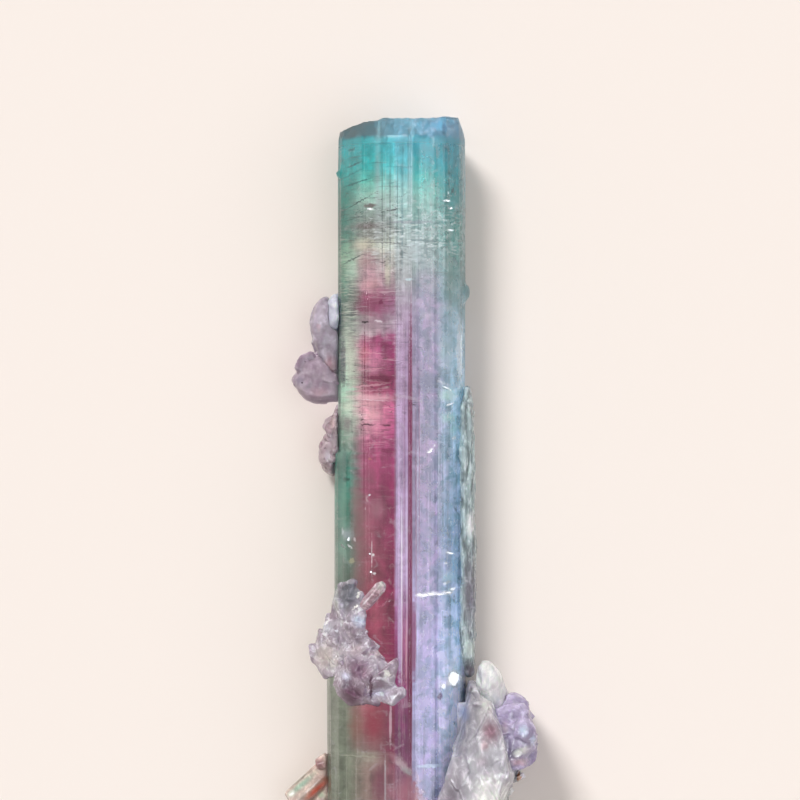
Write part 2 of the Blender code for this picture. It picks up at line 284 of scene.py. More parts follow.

# Marks on the crystal, placed one by one: X and Y, half width, half length, colour, strength, and any turn in
# degrees. The lines along it are drawn first, then the cracks and wisps that are worked out, then the rest.
WHITE, PALE, ICE, CREAM = (250, 250, 255), (214, 226, 230), (206, 240, 250), (224, 218, 200)
MINT, SEA, SLATE, DUSK = (196, 240, 218), (56, 116, 128), (92, 104, 112), (66, 82, 92)
ROSE, PLUM, WINE, BROWN, BLACK = (240, 186, 196), (120, 26, 76), (126, 34, 80), (118, 92, 96), (34, 26, 36)
GROWTH_LINES = (
    (-2.7, 85, 0.5, 10, PALE, 0.4), (-2.14, 83, 0.09, 9.5, DUSK, 0.6), (-1.7, 83, 0.16, 8, PALE, 0.35),
    (-1.19, 82, 0.1, 10, DUSK, 0.65), (-0.6, 84, 0.14, 7, PALE, 0.3), (-0.24, 86, 0.07, 5, DUSK, 0.4),
    (0.3, 83, 0.18, 9, SEA, 0.35), (1.4, 87, 0.45, 7, PALE, 0.4), (2.3, 80, 0.08, 6, DUSK, 0.35),
    (2.8, 82, 0.12, 5, PALE, 0.35), (3.35, 81, 0.06, 3.5, DUSK, 0.4), (3.8, 83, 0.08, 6, PALE, 0.4),
    (4.35, 80, 0.06, 4, DUSK, 0.4), (7.75, 85, 0.22, 9.5, PALE, 0.6), (7.35, 83, 0.1, 9, DUSK, 0.35),
    # The white lines at X 0.24 and 0.85, along the ridge, are painted highlights.
    (-0.16, 50, 0.08, 26, (206, 180, 214), 0.45), (0.24, 38, 0.11, 14, WHITE, 0.75),
    (0.55, 50, 0.1, 24, WINE, 0.35), (0.85, 40, 0.1, 16, WHITE, 0.35),
    (1.3, 60, 0.36, 16.5, (124, 36, 84), 1), (1.3, 44, 0.36, 20, (124, 36, 84), 1),
    (1.3, 28, 0.36, 14, (108, 22, 68), 1), (1.95, 46, 0.08, 22, WINE, 0.55),
    (2.35, 52, 0.08, 17, WINE, 0.55), (-0.5, 55, 0.14, 22, WINE, 0.45), (3.55, 44, 0.1, 12, WHITE, 0.22),
    # The white line at X 7.2, along the right edge, is a painted highlight.
    (4.8, 52, 0.08, 9, PALE, 0.3), (5.25, 48, 0.1, 22, SEA, 0.35), (7.2, 67, 0.36, 4.5, WHITE, 0.55),
    (-3.45, 43, 0.06, 2.8, WHITE, 0.8), (-1.1, 23, 0.2, 3.2, (226, 200, 214), 0.75),
    (-1.78, 16, 0.12, 4, PALE, 0.55), (-4.42, 53, 0.07, 8.5, WINE, 0.7),
    (-4.35, 66, 0.09, 5, (110, 30, 66), 0.8), (-4.62, 64, 0.06, 6, (110, 30, 66), 0.6),
    (-6.9, 66, 0.34, 3.6, SLATE, 0.85), (-7.4, 71, 0.35, 26, (52, 88, 84), 0.55),
    (2.2, 13.2, 1.2, 5, (158, 100, 116), 1, 15.6), (0.02, 33.5, 0.3, 7, (186, 166, 206), 0.8),
    (0.75, 31.5, 0.07, 5, ROSE, 0.45), (1.75, 33, 0.3, 6, (132, 44, 96), 0.8),
    (2.5, 15, 0.12, 2.6, (206, 190, 214), 0.7, 15.6),
)  # fmt: skip
MARKS = (
    (-4.6, 79.8, 1.4, 0.9, CREAM, 0.8), (-4.2, 77.8, 1.2, 0.9, (176, 140, 142), 0.6),
    (-5.9, 77, 0.9, 2.2, MINT, 0.45), (-3.6, 75.1, 1.5, 0.9, (236, 186, 194), 0.65),
    (-1.5, 76.4, 0.5, 2, (226, 226, 204), 0.6), (-3.3, 72.7, 2.4, 1.2, (148, 74, 110), 0.55),
    (-2.3, 73, 0.3, 0.4, PLUM, 0.7), (-3.4, 70.2, 1.8, 0.9, (176, 148, 164), 0.65),
    (-4.3, 70.6, 0.5, 0.14, BLACK, 0.95), (-2.6, 70.7, 0.6, 0.2, WHITE, 0.7),
    (-1.9, 67.9, 1.3, 0.6, PLUM, 0.55), (-4.3, 66.8, 0.9, 1.6, (226, 128, 150), 0.5),
    (-2.5, 63.9, 2.3, 0.41, (112, 20, 68), 0.85), (-1.4, 63.6, 0.6, 0.3, (104, 12, 58), 0.8),
    (-6.1, 66, 0.7, 3.4, (222, 230, 214), 0.6), (-6.3, 62.6, 1.1, 0.4, MINT, 0.85),
    (-4, 63, 3, 0.14, (236, 190, 204), 0.6, 6), (-4.2, 62.4, 2.8, 0.12, (226, 170, 190), 0.55, 2),
    (-3.6, 61.6, 3.6, 0.46, (246, 206, 216), 0.75, -1), (-3.4, 60.9, 1.6, 0.43, (240, 200, 206), 0.6),
    (-3.2, 61.3, 2.6, 0.08, WHITE, 0.45, -4), (-4.6, 60.5, 2, 0.13, (236, 196, 206), 0.5, -9),
    (-3.4, 65, 2.4, 0.1, (236, 180, 196), 0.5, 3), (-3.6, 66.9, 2.2, 0.09, (240, 190, 204), 0.5, -3),
    (-3.2, 57.4, 2, 0.1, (232, 176, 192), 0.45, -2), (-3.2, 56.2, 2, 0.11, (226, 160, 180), 0.45, 4),
    (1, 61.6, 2.2, 0.24, (206, 196, 206), 0.3, -12), (-6.4, 60.5, 0.7, 0.8, (226, 240, 222), 0.8, -40),
    (-3.3, 59.6, 1.3, 0.9, ROSE, 0.75), (-6.5, 58.4, 0.9, 1.3, (128, 112, 120), 0.75),
    (-4.1, 58.4, 1.1, 0.11, (60, 16, 40), 0.9, -3), (-1.6, 58.3, 0.6, 0.16, (60, 16, 40), 0.8),
    (-6.8, 54.4, 0.6, 1.9, (48, 104, 100), 0.7), (-6.6, 51.8, 0.4, 0.35, (30, 66, 64), 0.75),
    (-3.7, 54.3, 0.4, 0.16, (206, 130, 124), 0.6), (-1.4, 55.3, 1.2, 0.35, PLUM, 0.6),
    (-1.3, 51.2, 1, 1.4, (138, 28, 86), 0.5), (-3.5, 52, 1, 1.8, (158, 96, 122), 0.45),
    (-6.8, 48.4, 0.8, 3, (72, 158, 134), 0.55), (-5.5, 49.6, 0.8, 2.8, (160, 140, 138), 0.55),
    (-2.8, 48.4, 1.3, 1.5, (176, 132, 146), 0.65), (-4.2, 48.4, 0.15, 0.15, WHITE, 0.95),
    # The white dots at (-3.3, 42.9) and (-3.1, 40.7), and the white and blue-white spots round (-6.3, 44.6),
    # are painted glints.
    (-4.1, 49.5, 0.14, 0.5, (230, 214, 222), 0.6), (-3.3, 42.9, 0.18, 0.22, WHITE, 1),
    (-3.1, 40.7, 0.18, 0.22, WHITE, 1), (-6.5, 45.2, 0.9, 0.9, (196, 206, 218), 0.6),
    (-5.6, 44.7, 0.22, 0.3, WHITE, 0.95), (-6.2, 43.8, 0.5, 0.16, WHITE, 0.85, -38),
    (-7, 45.6, 0.2, 0.5, (226, 236, 240), 0.7), (-6, 42.1, 0.4, 0.4, (206, 200, 160), 0.6),
    (-5.1, 39, 1.4, 2.6, (150, 112, 116), 0.5), (-5, 46.5, 1.3, 5.5, (152, 106, 112), 0.6),
    (-3.3, 22.8, 1.7, 3.2, (158, 44, 74), 0.8), (-5.5, 22.4, 1.2, 3, (166, 98, 92), 0.5),
    (-2.6, 15.6, 1.2, 3, (140, 60, 96), 0.6), (-7, 52.6, 0.7, 2.6, (30, 96, 88), 0.7),
    (-6.6, 40, 1, 2.6, (70, 96, 84), 0.5), (-5.2, 18.9, 3.4, 0.12, (186, 188, 168), 0.6),
    (0.2, 18.2, 1.9, 0.62, (196, 176, 182), 0.62, -44), (0.8, 17.4, 1, 0.44, (150, 180, 172), 0.45, -40),
    (3.7, 17.9, 1.9, 0.26, (206, 226, 240), 0.65), (0.4, 14.6, 1.4, 2.4, (176, 112, 126), 0.55),
    # The white line across at Y 38.3, the ice-blue patch above it, the white spots at Y 41.9 and 43.1 and the
    # white scratch at (3.6, 55.3) are painted glints.
    (2.7, 38.2, 1.1, 0.3, WHITE, 0.95), (4.2, 38.3, 1.1, 0.32, WHITE, 0.95),
    (5.8, 38.4, 0.9, 0.3, WHITE, 0.9), (6.1, 38.7, 0.5, 0.34, (226, 246, 252), 0.85),
    (5.9, 40.2, 1, 0.7, ICE, 0.6), (5.9, 43.1, 0.55, 0.22, WHITE, 0.8, -18),
    (5.6, 41.9, 0.26, 0.18, WHITE, 0.8), (3.6, 55.3, 0.5, 0.13, WHITE, 0.85, 42),
    # The white flake round (6.2, 28) and its small piece at (5, 27.4) are a painted highlight: light that the
    # flake mirrors.
    (3.2, 71.3, 0.9, 0.5, (214, 202, 214), 0.45), (6.2, 28.1, 0.41, 0.75, WHITE, 1),
    (6.6, 27.7, 0.41, 0.7, WHITE, 1), (5.9, 27.5, 0.3, 0.4, WHITE, 1),
    (5, 27.4, 0.34, 0.36, (236, 236, 250), 0.85), (4.9, 26.1, 0.4, 0.46, (96, 70, 110), 0.9),
    # The pale mint patches round (5.8, 60.5) are partly their own colour and partly painted glints; the white
    # line at (5.2, 63.4) is a painted glint.
    (5.8, 61.9, 1.2, 1, (206, 246, 236), 0.75), (5.9, 59.2, 1.1, 0.8, (196, 236, 226), 0.65),
    (6.5, 57.8, 0.6, 1.2, (146, 206, 200), 0.6), (5.2, 63.4, 1.2, 0.2, WHITE, 0.4, -24),
    (5.6, 67, 1.1, 2.8, (190, 214, 218), 0.55), (6.8, 64, 0.34, 1.5, (90, 128, 146), 0.6),
    (6.1, 75, 1, 5, (118, 148, 138), 0.4), (3, 50, 0.1, 0.5, (84, 62, 96), 0.6, 35),
    (4.4, 49.6, 0.07, 0.9, (84, 62, 96), 0.6), (4.2, 47.6, 0.5, 0.07, (84, 62, 96), 0.6, 20),
    (4.4, 44.2, 0.1, 0.9, (96, 88, 120), 0.5, -35), (6.8, 48.2, 0.1, 1, (60, 84, 104), 0.6, 25),
    # The white marks at (5.6, 85), (6, 84.1) and (6, 81.5) are painted glints.
    (6.4, 86.3, 0.16, 0.5, (34, 74, 84), 0.9), (5.6, 85, 0.5, 0.16, WHITE, 0.8),
    (6, 84.1, 0.3, 0.14, WHITE, 0.75, 20), (6, 81.5, 0.45, 0.16, (236, 250, 250), 0.8),
    # The ice-white mark at (1.2, 75.6) is a painted glint.
    (1.9, 79.4, 0.9, 2.6, (222, 228, 236), 0.45), (1.2, 75.6, 0.6, 0.2, (216, 240, 246), 0.7),
    (-3.6, 84.4, 0.9, 0.3, BROWN, 0.8), (-5.2, 84.8, 1.9, 0.1, (34, 74, 74), 0.9, 26),
    # The white mark at (-3.6, 84) is a painted glint.
    (-5.6, 83, 1.7, 0.09, (44, 84, 84), 0.6, 14), (-3.6, 84, 0.5, 0.16, WHITE, 0.75),
    (-5.3, 87.2, 2.2, 0.11, (16, 84, 90), 0.75, 14), (-5.9, 88.3, 1.6, 0.09, (16, 90, 96), 0.65, 22),
    (-5.6, 89.4, 1.2, 0.12, (16, 76, 88), 0.8, 18), (-5.9, 91.2, 0.8, 0.14, (20, 70, 84), 0.6, 20),
    (-4.2, 82, 3.2, 0.55, BROWN, 0.55), (1.5, 82.4, 3.6, 0.26, (132, 122, 142), 0.5),
    (-2.6, 80, 3.4, 0.1, (70, 60, 72), 0.5, -3), (-5.6, 78.2, 1.8, 0.09, (40, 66, 66), 0.85, 24),
    (3, 80.2, 3, 0.14, (64, 96, 100), 0.5, -3), (1, 88.9, 3.4, 0.1, (60, 130, 140), 0.5, -2),
    (3, 91, 2.6, 0.8, (60, 146, 160), 0.5), (-2.6, 93.4, 0.24, 1.6, (140, 196, 208), 0.6),
    (1.4, 93.4, 0.42, 1.6, (132, 180, 200), 0.55), (-0.9, 93.6, 0.12, 1.2, (40, 96, 118), 0.5),
    (4.2, 93.4, 0.5, 0.4, (176, 198, 222), 0.6), (5.6, 93.8, 0.3, 0.5, (70, 110, 150), 0.5),
)  # fmt: skip

# White flecks and scratches on the surface itself, in the same form. Their white is a painted glint, and they
# also mirror the light.
GLINT_FLECKS = (
    (6.35, 28.1, 0.85, 1.1, WHITE, 0.9), (5.1, 27.3, 0.34, 0.36, WHITE, 0.4),
    (2.6, 38.2, 0.8, 0.14, WHITE, 0.36), (3.7, 38.3, 0.5, 0.16, WHITE, 0.42),
    (4.7, 38.2, 0.55, 0.13, WHITE, 0.4), (5.7, 38.4, 0.6, 0.14, WHITE, 0.4),
    (6.2, 38.8, 0.4, 0.26, WHITE, 0.4), (5.5, 39.6, 0.55, 0.2, WHITE, 0.25, 24),
    (6.4, 56.8, 0.3, 0.3, WHITE, 0.3), (5.9, 43.1, 0.5, 0.12, WHITE, 0.6, -18),
    (3.6, 55.3, 0.55, 0.1, WHITE, 0.7, 42), (4, 55.9, 0.25, 0.08, WHITE, 0.5, 42),
    (5.6, 62.7, 0.8, 0.1, WHITE, 0.5, -24), (5.9, 60.8, 0.6, 0.14, WHITE, 0.4, 20),
    (7.25, 67, 0.12, 4.5, WHITE, 0.4), (5.6, 85, 0.42, 0.13, WHITE, 0.7),
    (6, 84.1, 0.28, 0.12, WHITE, 0.6, 20), (6, 81.5, 0.36, 0.13, WHITE, 0.6),
    (5.7, 85.9, 0.1, 0.26, WHITE, 0.5), (-3.6, 84, 0.42, 0.12, WHITE, 0.6),
    (-3.6, 43, 0.14, 0.17, WHITE, 0.8), (-3.4, 40.9, 0.14, 0.17, WHITE, 0.8),
    (-3.6, 50, 0.1, 0.12, WHITE, 0.6), (-6.1, 44.7, 0.2, 0.26, WHITE, 0.6),
    (-6.7, 43.8, 0.46, 0.12, WHITE, 0.5, -38),
)  # fmt: skip
FLECK_FACE = (0.42, 0.0, 0.91)  # the flecks face this way, and so mirror the light on the right

# Broken texture: the levels of its pattern where a paint starts and is full, how strong it is, its colour.
FIBRE_PAINTS = ((0.48, 0.62, 0.7, (222, 234, 218)), (0.44, 0.36, 0.4, (70, 100, 96)))
FROST_PAINTS = ((0.50, 0.64, 0.8, (226, 234, 236)), (0.44, 0.34, 0.5, (60, 74, 80)))
VEIL, CRACK, CRACKLE = (226, 226, 236), (52, 50, 60), (80, 92, 112)

BATCH = 8  # marks that are drawn before the next ones are worked out
TRACE = (1e-9, 1e-9, 1e-9)  # too little of a colour to see
CRISP_BELOW = 0.42  # marks narrower than this, in millimetres either way, have a sharp edge
CRISP, SOFT = (0.5, 1.05), (0.1, 1.2)  # where an edge starts and ends, as shares of the way out
ANY_DEPTH = 1e6


def zone_colours(g, place, x, y):
    """The colours that the crystal shows through its faces, before any fractures or growth lines."""
    patches = g.noise(place, (0.55, 0.4, 0.3), 4.0, 0.6, 0.4)
    wisps = g.noise(place, (0.16, 1.1, 0.2), 4.0, 0.6, 0.7)
    level = g.waver(g.waver(y, patches, 2.2), wisps, 3.0)
    shade = g.ramp(level, RIM)
    for following, (edge, half, reach) in zip((WINDOW, HEART, RIDGE, SATIN, EDGE), COLUMN_EDGES):
        here = g.waver(x, wisps, reach)
        shade = g.mix(g.smooth(here, edge - half, edge + half), shade, g.ramp(level, following))
    mottle = g.noise(place, (2.2, 2.2, 0.4), 4.0, 0.65)
    line = g.waver(g.waver(y, patches, 0.7), mottle, 0.5)
    return g.mix(g.smooth(line, CAP_LINE - CAP_HALF, CAP_LINE + CAP_HALF), shade, cap_colours(g, x, mottle))


def cap_colours(g, x, mottle):
    """The blue cap: three faces side by side, the right two mottled."""
    cap = g.mix(g.smooth(x, -4.6, -1.0), srgb(*LEFT_CAP), srgb(*MIDDLE_CAP))
    cap = g.mix(g.smooth(x, 1.5, 5.0), cap, srgb(*RIGHT_CAP))
    return g.mix(g.times(g.smooth(mottle, 0.50, 0.70), g.smooth(x, -4.0, 2.0)), cap, srgb(*CAP_MOTTLE))


def draw_marks(g, shade, place, marks, reach):
    """Paints soft-edged ellipses. reach is how far, in millimetres, their outlines wander.

    Cycles has room for 255 numbers, and would work out every mark before drawing the first. Each batch's
    place takes a trace of the colour so far, which makes it wait for the batch before.
    """
    wobble = g.vector("SUBTRACT", g.noise_vector(place, 2.2), (0.5, 0.5, 0.5))
    here = g.vector("ADD", place, g.vector("MULTIPLY", wobble, (*reach, 0.0)))
    for index, (x, y, half_x, half_y, tint, strength, *turn) in enumerate(marks):
        if index % BATCH == 0:
            here = g.vector("MULTIPLY_ADD", shade, TRACE, here)
        ellipse = {"Location": (x, y, 0.0), "Scale": (half_x, half_y, ANY_DEPTH)}
        ellipse["Rotation"] = (0.0, 0.0, math.radians(sum(turn)))
        away = g.add("ShaderNodeMapping", here, named=ellipse, vector_type="TEXTURE")
        edge = CRISP if min(half_x, half_y) < CRISP_BELOW else SOFT
        cover = g.stepped(g.vector("LENGTH", away, output=1), *edge, strength, 0.0)
        shade = g.mix(cover, shade, srgb(*tint))
    return shade


def contour_lines(g, place, stretch, count, thin, gap_size):
    """Hairlines where a stretched noise crosses a set of levels, as cracks that run across the prism do."""
    field = g.noise(place, stretch, 3.0, 0.55, 0.2)
    steps = g.math("ABSOLUTE", g.math("SUBTRACT", g.math("FRACT", g.times(field, count)), 0.5))
    gaps = g.noise(place, (gap_size, gap_size * 1.6, gap_size), 3.0, 0.6)
    return g.times(g.smooth(steps, thin, thin * 0.3), g.smooth(gaps, 0.44, 0.58))


def crackle(g, place, size, thin):
    """Short curved cracks that run every way."""
    bent = g.vector("SCALE", g.noise_vector(place, 1.3 / size), None, None, 0.9 * size)
    cells = g.stretch(g.vector("ADD", place, bent), 1.25 / size, 0.8 / size, 1.0 / size)
    named = {"Vector": cells, "Scale": 1.0}
    distance = g.add("ShaderNodeTexVoronoi", named=named, feature="DISTANCE_TO_EDGE")
    gaps = g.noise(place, (0.9, 0.6, 0.6), 3.0, 0.6)
    return g.times(g.smooth(distance, thin, thin * 0.3), g.smooth(gaps, 0.54, 0.64))


def slice_colours(g, place, share):
    """The colours across the broken end: pink, then a pale ring, then a green rim, cloudy and cracked."""
    clouds = g.noise(place, 0.8, 5.0, 0.64, 0.8)
    grain = g.noise(place, 3.0, 4.0, 0.62, 0.4)
    shade = g.ramp(g.waver(share, clouds, 0.5), SLICE)
    shade = g.scaled(shade, g.waver(g.waver(1.0, clouds, 1.2), grain, 1.0))
    return g.mix(g.times(g.smooth(grain, 0.56, 0.68), 0.5), shade, srgb(236, 226, 228))


def across_share(g):
    """How far out on an end a point lies: 0 in its middle, and 1 at its rim and on the prism's sides."""
    return g.add("ShaderNodeAttribute", output=2, attribute_name="share")


def off_base(g, share, y, low, high):
    """0 on the broken end, and 1 on the sides and the termination. low and high are shares."""
    return g.math("MAXIMUM", g.smooth(share, low, high), g.smooth(y, 40.0, 60.0))


def skin_roughness(g, share, right, patches, y):
    """Glossy on the left, satin on the right, and dull on the ends."""
    rough = g.line(right, 0.16, 0.05)
    rough = g.line(g.smooth(patches, 0.4, 0.7), 0.12, rough)
    rough = g.math("MAXIMUM", rough, g.smooth(share, 0.99, 0.9))
    rough = g.math("MAXIMUM", rough, g.times(g.smooth(y, 90.6, 92.0), 0.4))
    return g.math("MINIMUM", rough, 0.4)


def prism_material():
    """The clear outer surface: ribbed along its length, scuffed, with painted white glints that also mirror
    the light, and frosted on its broken end.
    """
    material, g, place, x, y, z = new_material("tourmaline")
    share = across_share(g)
    lines = g.noise(place, (6.0, 0.04, 4.0), 3.0, 0.6)
    patches = g.noise(place, (0.6, 0.6, 0.6), 5.0, 0.62)
    right = g.smooth(x, 1.3, 2.6)
    clear = g.mix(0.18, CLEAR, zone_colours(g, place, x, y))
    clear = g.mix(g.smooth(z, 0.2, 1.0), CLEAR, clear)
    side = off_base(g, share, y, 0.93, 0.99)
    clear = g.mix(side, slice_colours(g, place, share), clear)
    scuffs_and_glints = g.times(g.smooth(lines, 0.56, 0.72), g.smooth(patches, 0.46, 0.6))
    scuffs_and_glints = g.times(scuffs_and_glints, g.line(right, 0.35, 0.03))
    # The flecks' white is a painted glint; their metal and tilted normal also mirror the light.
    glint_flecks = draw_marks(g, (0.0, 0.0, 0.0), as_measured(g, place, 1.0), GLINT_FLECKS, (0.6, 0.4))
    glint_flecks = g.times(g.parts(glint_flecks)[0], g.smooth(z, 4.0, 4.6))
    scuffs_and_glints = g.math("MAXIMUM", scuffs_and_glints, glint_flecks)
    ribs = g.bump(g.times(lines, g.line(g.smooth(x, -1.2, 0.0), 0.7, 0.3)), 0.5)
    named = {0: g.smooth(glint_flecks, 0.0, 0.5), 4: ribs, 5: FLECK_FACE}
    normal = g.add("ShaderNodeMix", named=named, output=1, data_type="VECTOR")
    inputs = {
        "Base Color": g.mix(scuffs_and_glints, clear, (0.87, 0.92, 0.96)),
        "Roughness": skin_roughness(g, share, right, patches, y),
        "IOR": TOURMALINE_IOR,
        "Metallic": g.times(glint_flecks, 0.5),
        "Transmission Weight": g.math("SUBTRACT", g.line(side, 0.42, 0.55), scuffs_and_glints),
        "Normal": normal,
    }
    finish_material(g, inputs)
    return material


def lights_and_darks(g, shade, where, pattern, *paints):
    """Paints a pattern's high and low parts, within where."""
    for start, full, strength, tint in paints:
        shade = g.mix(g.times(where, g.smooth(pattern, start, full), strength), shade, srgb(*tint))
    return shade


def fractures(g, shade, place, x, y):
    """Cloudy patches, pale wisps and thin dark cracks that run mostly across the prism."""
    left = g.smooth(x, 1.2, -1.0)
    upper = g.smooth(y, 54.0, 58.0)
    broken = g.math("MAXIMUM", g.band(y, 74.5, 87.0, 2.5), g.band(y, 57.0, 68.0, 2.0))
    wisps = g.noise(place, (0.22, 2.4, 0.2), 4.0, 0.62, 1.0)
    pale = g.times(g.smooth(wisps, 0.54, 0.70), g.line(upper, 0.5, 0.12))
    pale = g.times(pale, g.line(left, 0.75, 0.25), g.smooth(y, 84.0, 79.0))
    shade = g.mix(pale, shade, g.mix(0.55, shade, (1.0, 0.92, 0.93)))
    deep = g.times(g.smooth(wisps, 0.46, 0.32), g.line(upper, 0.5, 0.2), left)
    shade = g.mix(deep, shade, g.mix(0.6, shade, (0.05, 0.01, 0.03)))
    rim = g.times(g.band(x, -6.9, -5.1, 0.5), g.band(y, 58.0, 79.0, 2.0))
    fibres = g.noise(place, (0.5, 6.5, 0.3), 3.0, 0.6, 1.2)
    shade = lights_and_darks(g, shade, rim, fibres, *FIBRE_PAINTS)
    frosty = g.times(g.band(y, 77.5, 84.5, 2.0), g.smooth(x, -6.5, -3.0))
    frost = g.noise(place, (1.1, 3.2, 0.5), 4.0, 0.66, 0.6)
    shade = lights_and_darks(g, shade, frosty, frost, *FROST_PAINTS)
    veils = g.noise(place, (0.7, 0.9, 0.3), 5.0, 0.62, 0.8)
    shade = g.mix(g.times(g.smooth(veils, 0.56, 0.72), 0.22), shade, srgb(*VEIL))
    cracks = contour_lines(g, place, (0.13, 0.8, 0.1), 9.0, 0.06, 0.5)
    return g.mix(g.times(cracks, g.line(broken, 0.8, 0.08)), shade, srgb(*CRACK))


def as_measured(g, place, share):
    """The place where a point of the upper surface was seen. It is nearer to the lens than the silhouette is.

    share is the surface's width as a share of the prism's.
    """
    middle = (0.0, FRAME_CENTRE_Y * (1 - SEEN_LARGER), 0.0)
    larger = (1 / share, SEEN_LARGER, 1.0)
    return g.add("ShaderNodeMapping", named={"Vector": place, "Scale": larger, "Location": middle})


def clouded(g, shade, place, x, y, clouds):
    """The shade with soft clouds, and fine lines along the prism on its ridge and its satin face."""
    fine = g.noise(place, (5.5, 0.07, 0.5), 3.0, 0.62)
    broad = g.noise(place, (1.6, 0.10, 0.3), 3.0, 0.6)
    satin = g.times(g.smooth(x, 1.4, 3.0), g.smooth(y, 81.0, 75.0))
    tint = g.mix(g.smooth(clouds, 0.40, 0.62), srgb(208, 226, 240), srgb(255, 236, 252))
    shade = g.mix(g.times(satin, 0.9), shade, tint, "MULTIPLY")
    ribbed = g.smooth(x, -1.4, -0.2)
    gain = g.waver(1.04, clouds, 1.7)
    gain = g.waver(gain, fine, g.line(ribbed, 1.0, 0.25))
    gain = g.waver(gain, broad, 0.8)
    return g.scaled(shade, g.math("MAXIMUM", gain, 0.25))


def heart_material():
    """The coloured body just under the surface, cloudy with tiny fractures, and so only partly clear."""
    material, g, place, _, _, _ = new_material("tourmaline_body")
    drawn = as_measured(g, place, HEART_SHARE)
    x, y, _ = g.parts(drawn)
    share = across_share(g)
    clouds = g.noise(place, (0.9, 0.7, 0.3), 5.0, 0.62, 0.5)
    shade = clouded(g, zone_colours(g, drawn, x, y), place, x, y, clouds)
    shade = draw_marks(g, shade, drawn, GROWTH_LINES, (0.05, 6.0))
    shade = fractures(g, shade, drawn, x, y)
    shade = draw_marks(g, shade, drawn, MARKS, (0.8, 0.5))
    cells = g.times(crackle(g, place, 1.5, 0.05), g.smooth(x, 1.6, 4.0), 0.5)
    shade = g.mix(cells, shade, srgb(*CRACKLE))
    shade = g.mix(off_base(g, share, y, 0.9, 0.98), slice_colours(g, place, share), shade)
    clearness = g.times(g.line(g.smooth(x, 1.2, -2.0), 0.25, 0.10), g.line(clouds, -0.8, 1.4))
    inputs = {"Base Color": shade, "Roughness": 0.5, "IOR": 1.0, "Transmission Weight": clearness}
    finish_material(g, inputs)
    return material


def core_material():
    """The pink core inside the crystal: nothing bends at its surface, and its body takes up light."""
    material, g, place, _, _, _ = new_material("pink_core")
    patches = g.noise(place, (0.4, 1.6, 0.4), 4.0, 0.6, 0.3)
    shade = g.mix(g.smooth(patches, 0.35, 0.7), srgb(240, 200, 220), CLEAR)
    inputs = {"Base Color": shade, "Roughness": 0.0, "IOR": 1.0, "Transmission Weight": 1.0}
    finish_material(g, inputs, absorption=(srgb(220, 90, 150), 0.06))
    return material


def cluster_material(name, shades, clear, rough, marks=(), frost=0.4, reach=(0.7, 0.7), streaks=EVEN):
    """Mica, albite or quartz: soft clouds of three shades under a glossy skin, partly clear.

    frost is how much of the palest shade shows, and streaks draws its pattern out along an axis.
    """
    material, g, place, _, _, _ = new_material(name)
    deep, plain, pale = [srgb(*shade) for shade in shades]
    drawn_out = g.stretch(place, *streaks)
    clouds = g.noise(drawn_out, 0.55, 3.0, 0.55, 0.4)
    grain = g.noise(drawn_out, 1.2, 4.0, 0.58, 0.6)
    shade = g.mix(g.smooth(clouds, 0.36, 0.60), deep, plain)
    shade = g.mix(g.times(g.smooth(grain, 0.50, 0.70), frost), shade, pale)
    shade = draw_marks(g, shade, place, marks, reach)
    inputs = {
        "Base Color": g.scaled(shade, g.waver(1.0, grain, 0.8)),
        "Roughness": g.line(g.smooth(clouds, 0.4, 0.6), 0.08, rough),
        "IOR": MICA_IOR,
        "Transmission Weight": g.times(g.smooth(grain, 0.75, 0.45), clear),
        "Subsurface Weight": 0.6,
        "Subsurface Radius": (1.2 * MM, 0.9 * MM, 1.2 * MM),
        "Subsurface Scale": 1.0,
        "Normal": g.bump(grain, 0.2),
    }
    finish_material(g, inputs)
    return material


# ---------------------------------------------------------------- the crystal

BODY_START, BODY_END = 1.2, 92.25  # between these the prism's sides are measured straight out from its axis
BODY_STATIONS = 230
BEYOND = 20  # how far outside an end the search for it starts
UPPER_START, UPPER_END = 208, -28  # the upper side of a section, which shows, in degrees from the right
UPPER_POINTS, LOWER_POINTS = 300, 60
END_SHARES = np.concatenate([np.linspace(0.06, 0.8, 10), np.linspace(0.82, 0.985, 14)])
END_GRAIN = 0.10
BASE_RIDGE, BASE_DROP = 0.22, 0.2
PLAIN_BELOW = 0.8  # the ribs and knobs fade out under this height, towards the floor

STRIPES, STRIPE_SEED = 90, 11
STRIPE_WIDTHS = (0.5, 0.8, 1.5, 3.0)  # degrees
STRIPE_DEPTHS = (-0.05, 0.045)
# Small knobs on the prism's sides: Y, angle from the right in degrees, height, half length and half width.
NUBS = ((74.1, 4.0, 0.62, 0.95, 1.0), (88.2, 176.0, 0.55, 0.45, 0.7))
NUB_RADIUS = 8.0  # how far the knobs stand from the prism's axis

HEART_SHARE = 0.93
HEART_START = 0.9
TIP_DEPTH = 0.35  # how far under the termination the coloured body stays
PINK_START, PINK_END = 1.6, 74.4
PINK_TOP, PINK_TAPER = 74.5, 5.5  # where its tip would be, and how far below that it starts to taper
PINK_SHARE, PINK_WAVER = 0.62, 0.05  # of the prism's own width


def linked(name, data):
    """A new object of this name in the scene."""
    obj = bpy.data.objects.new(name, data)
    bpy.context.scene.collection.objects.link(obj)
    return obj


def new_piece(name, vertices, faces, material, slot, smooth=True, shares=None):
    mesh = bpy.data.meshes.new(name)
    mesh.from_pydata([tuple(v) for v in vertices], [], faces)
    if shares is not None:
        mesh.attributes.new("share", "FLOAT", "POINT").data.foreach_set("value", shares)
    mesh.materials.append(material)
    if smooth:
        mesh.shade_smooth()
    obj = linked(name, mesh)
    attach(obj, "root")
    return obj


def tree_of(node):
    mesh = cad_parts[node].data
    return BVHTree.FromPolygons([v.co for v in mesh.vertices], [tuple(p.vertices) for p in mesh.polygons])


prism_tree = tree_of(PRISM)


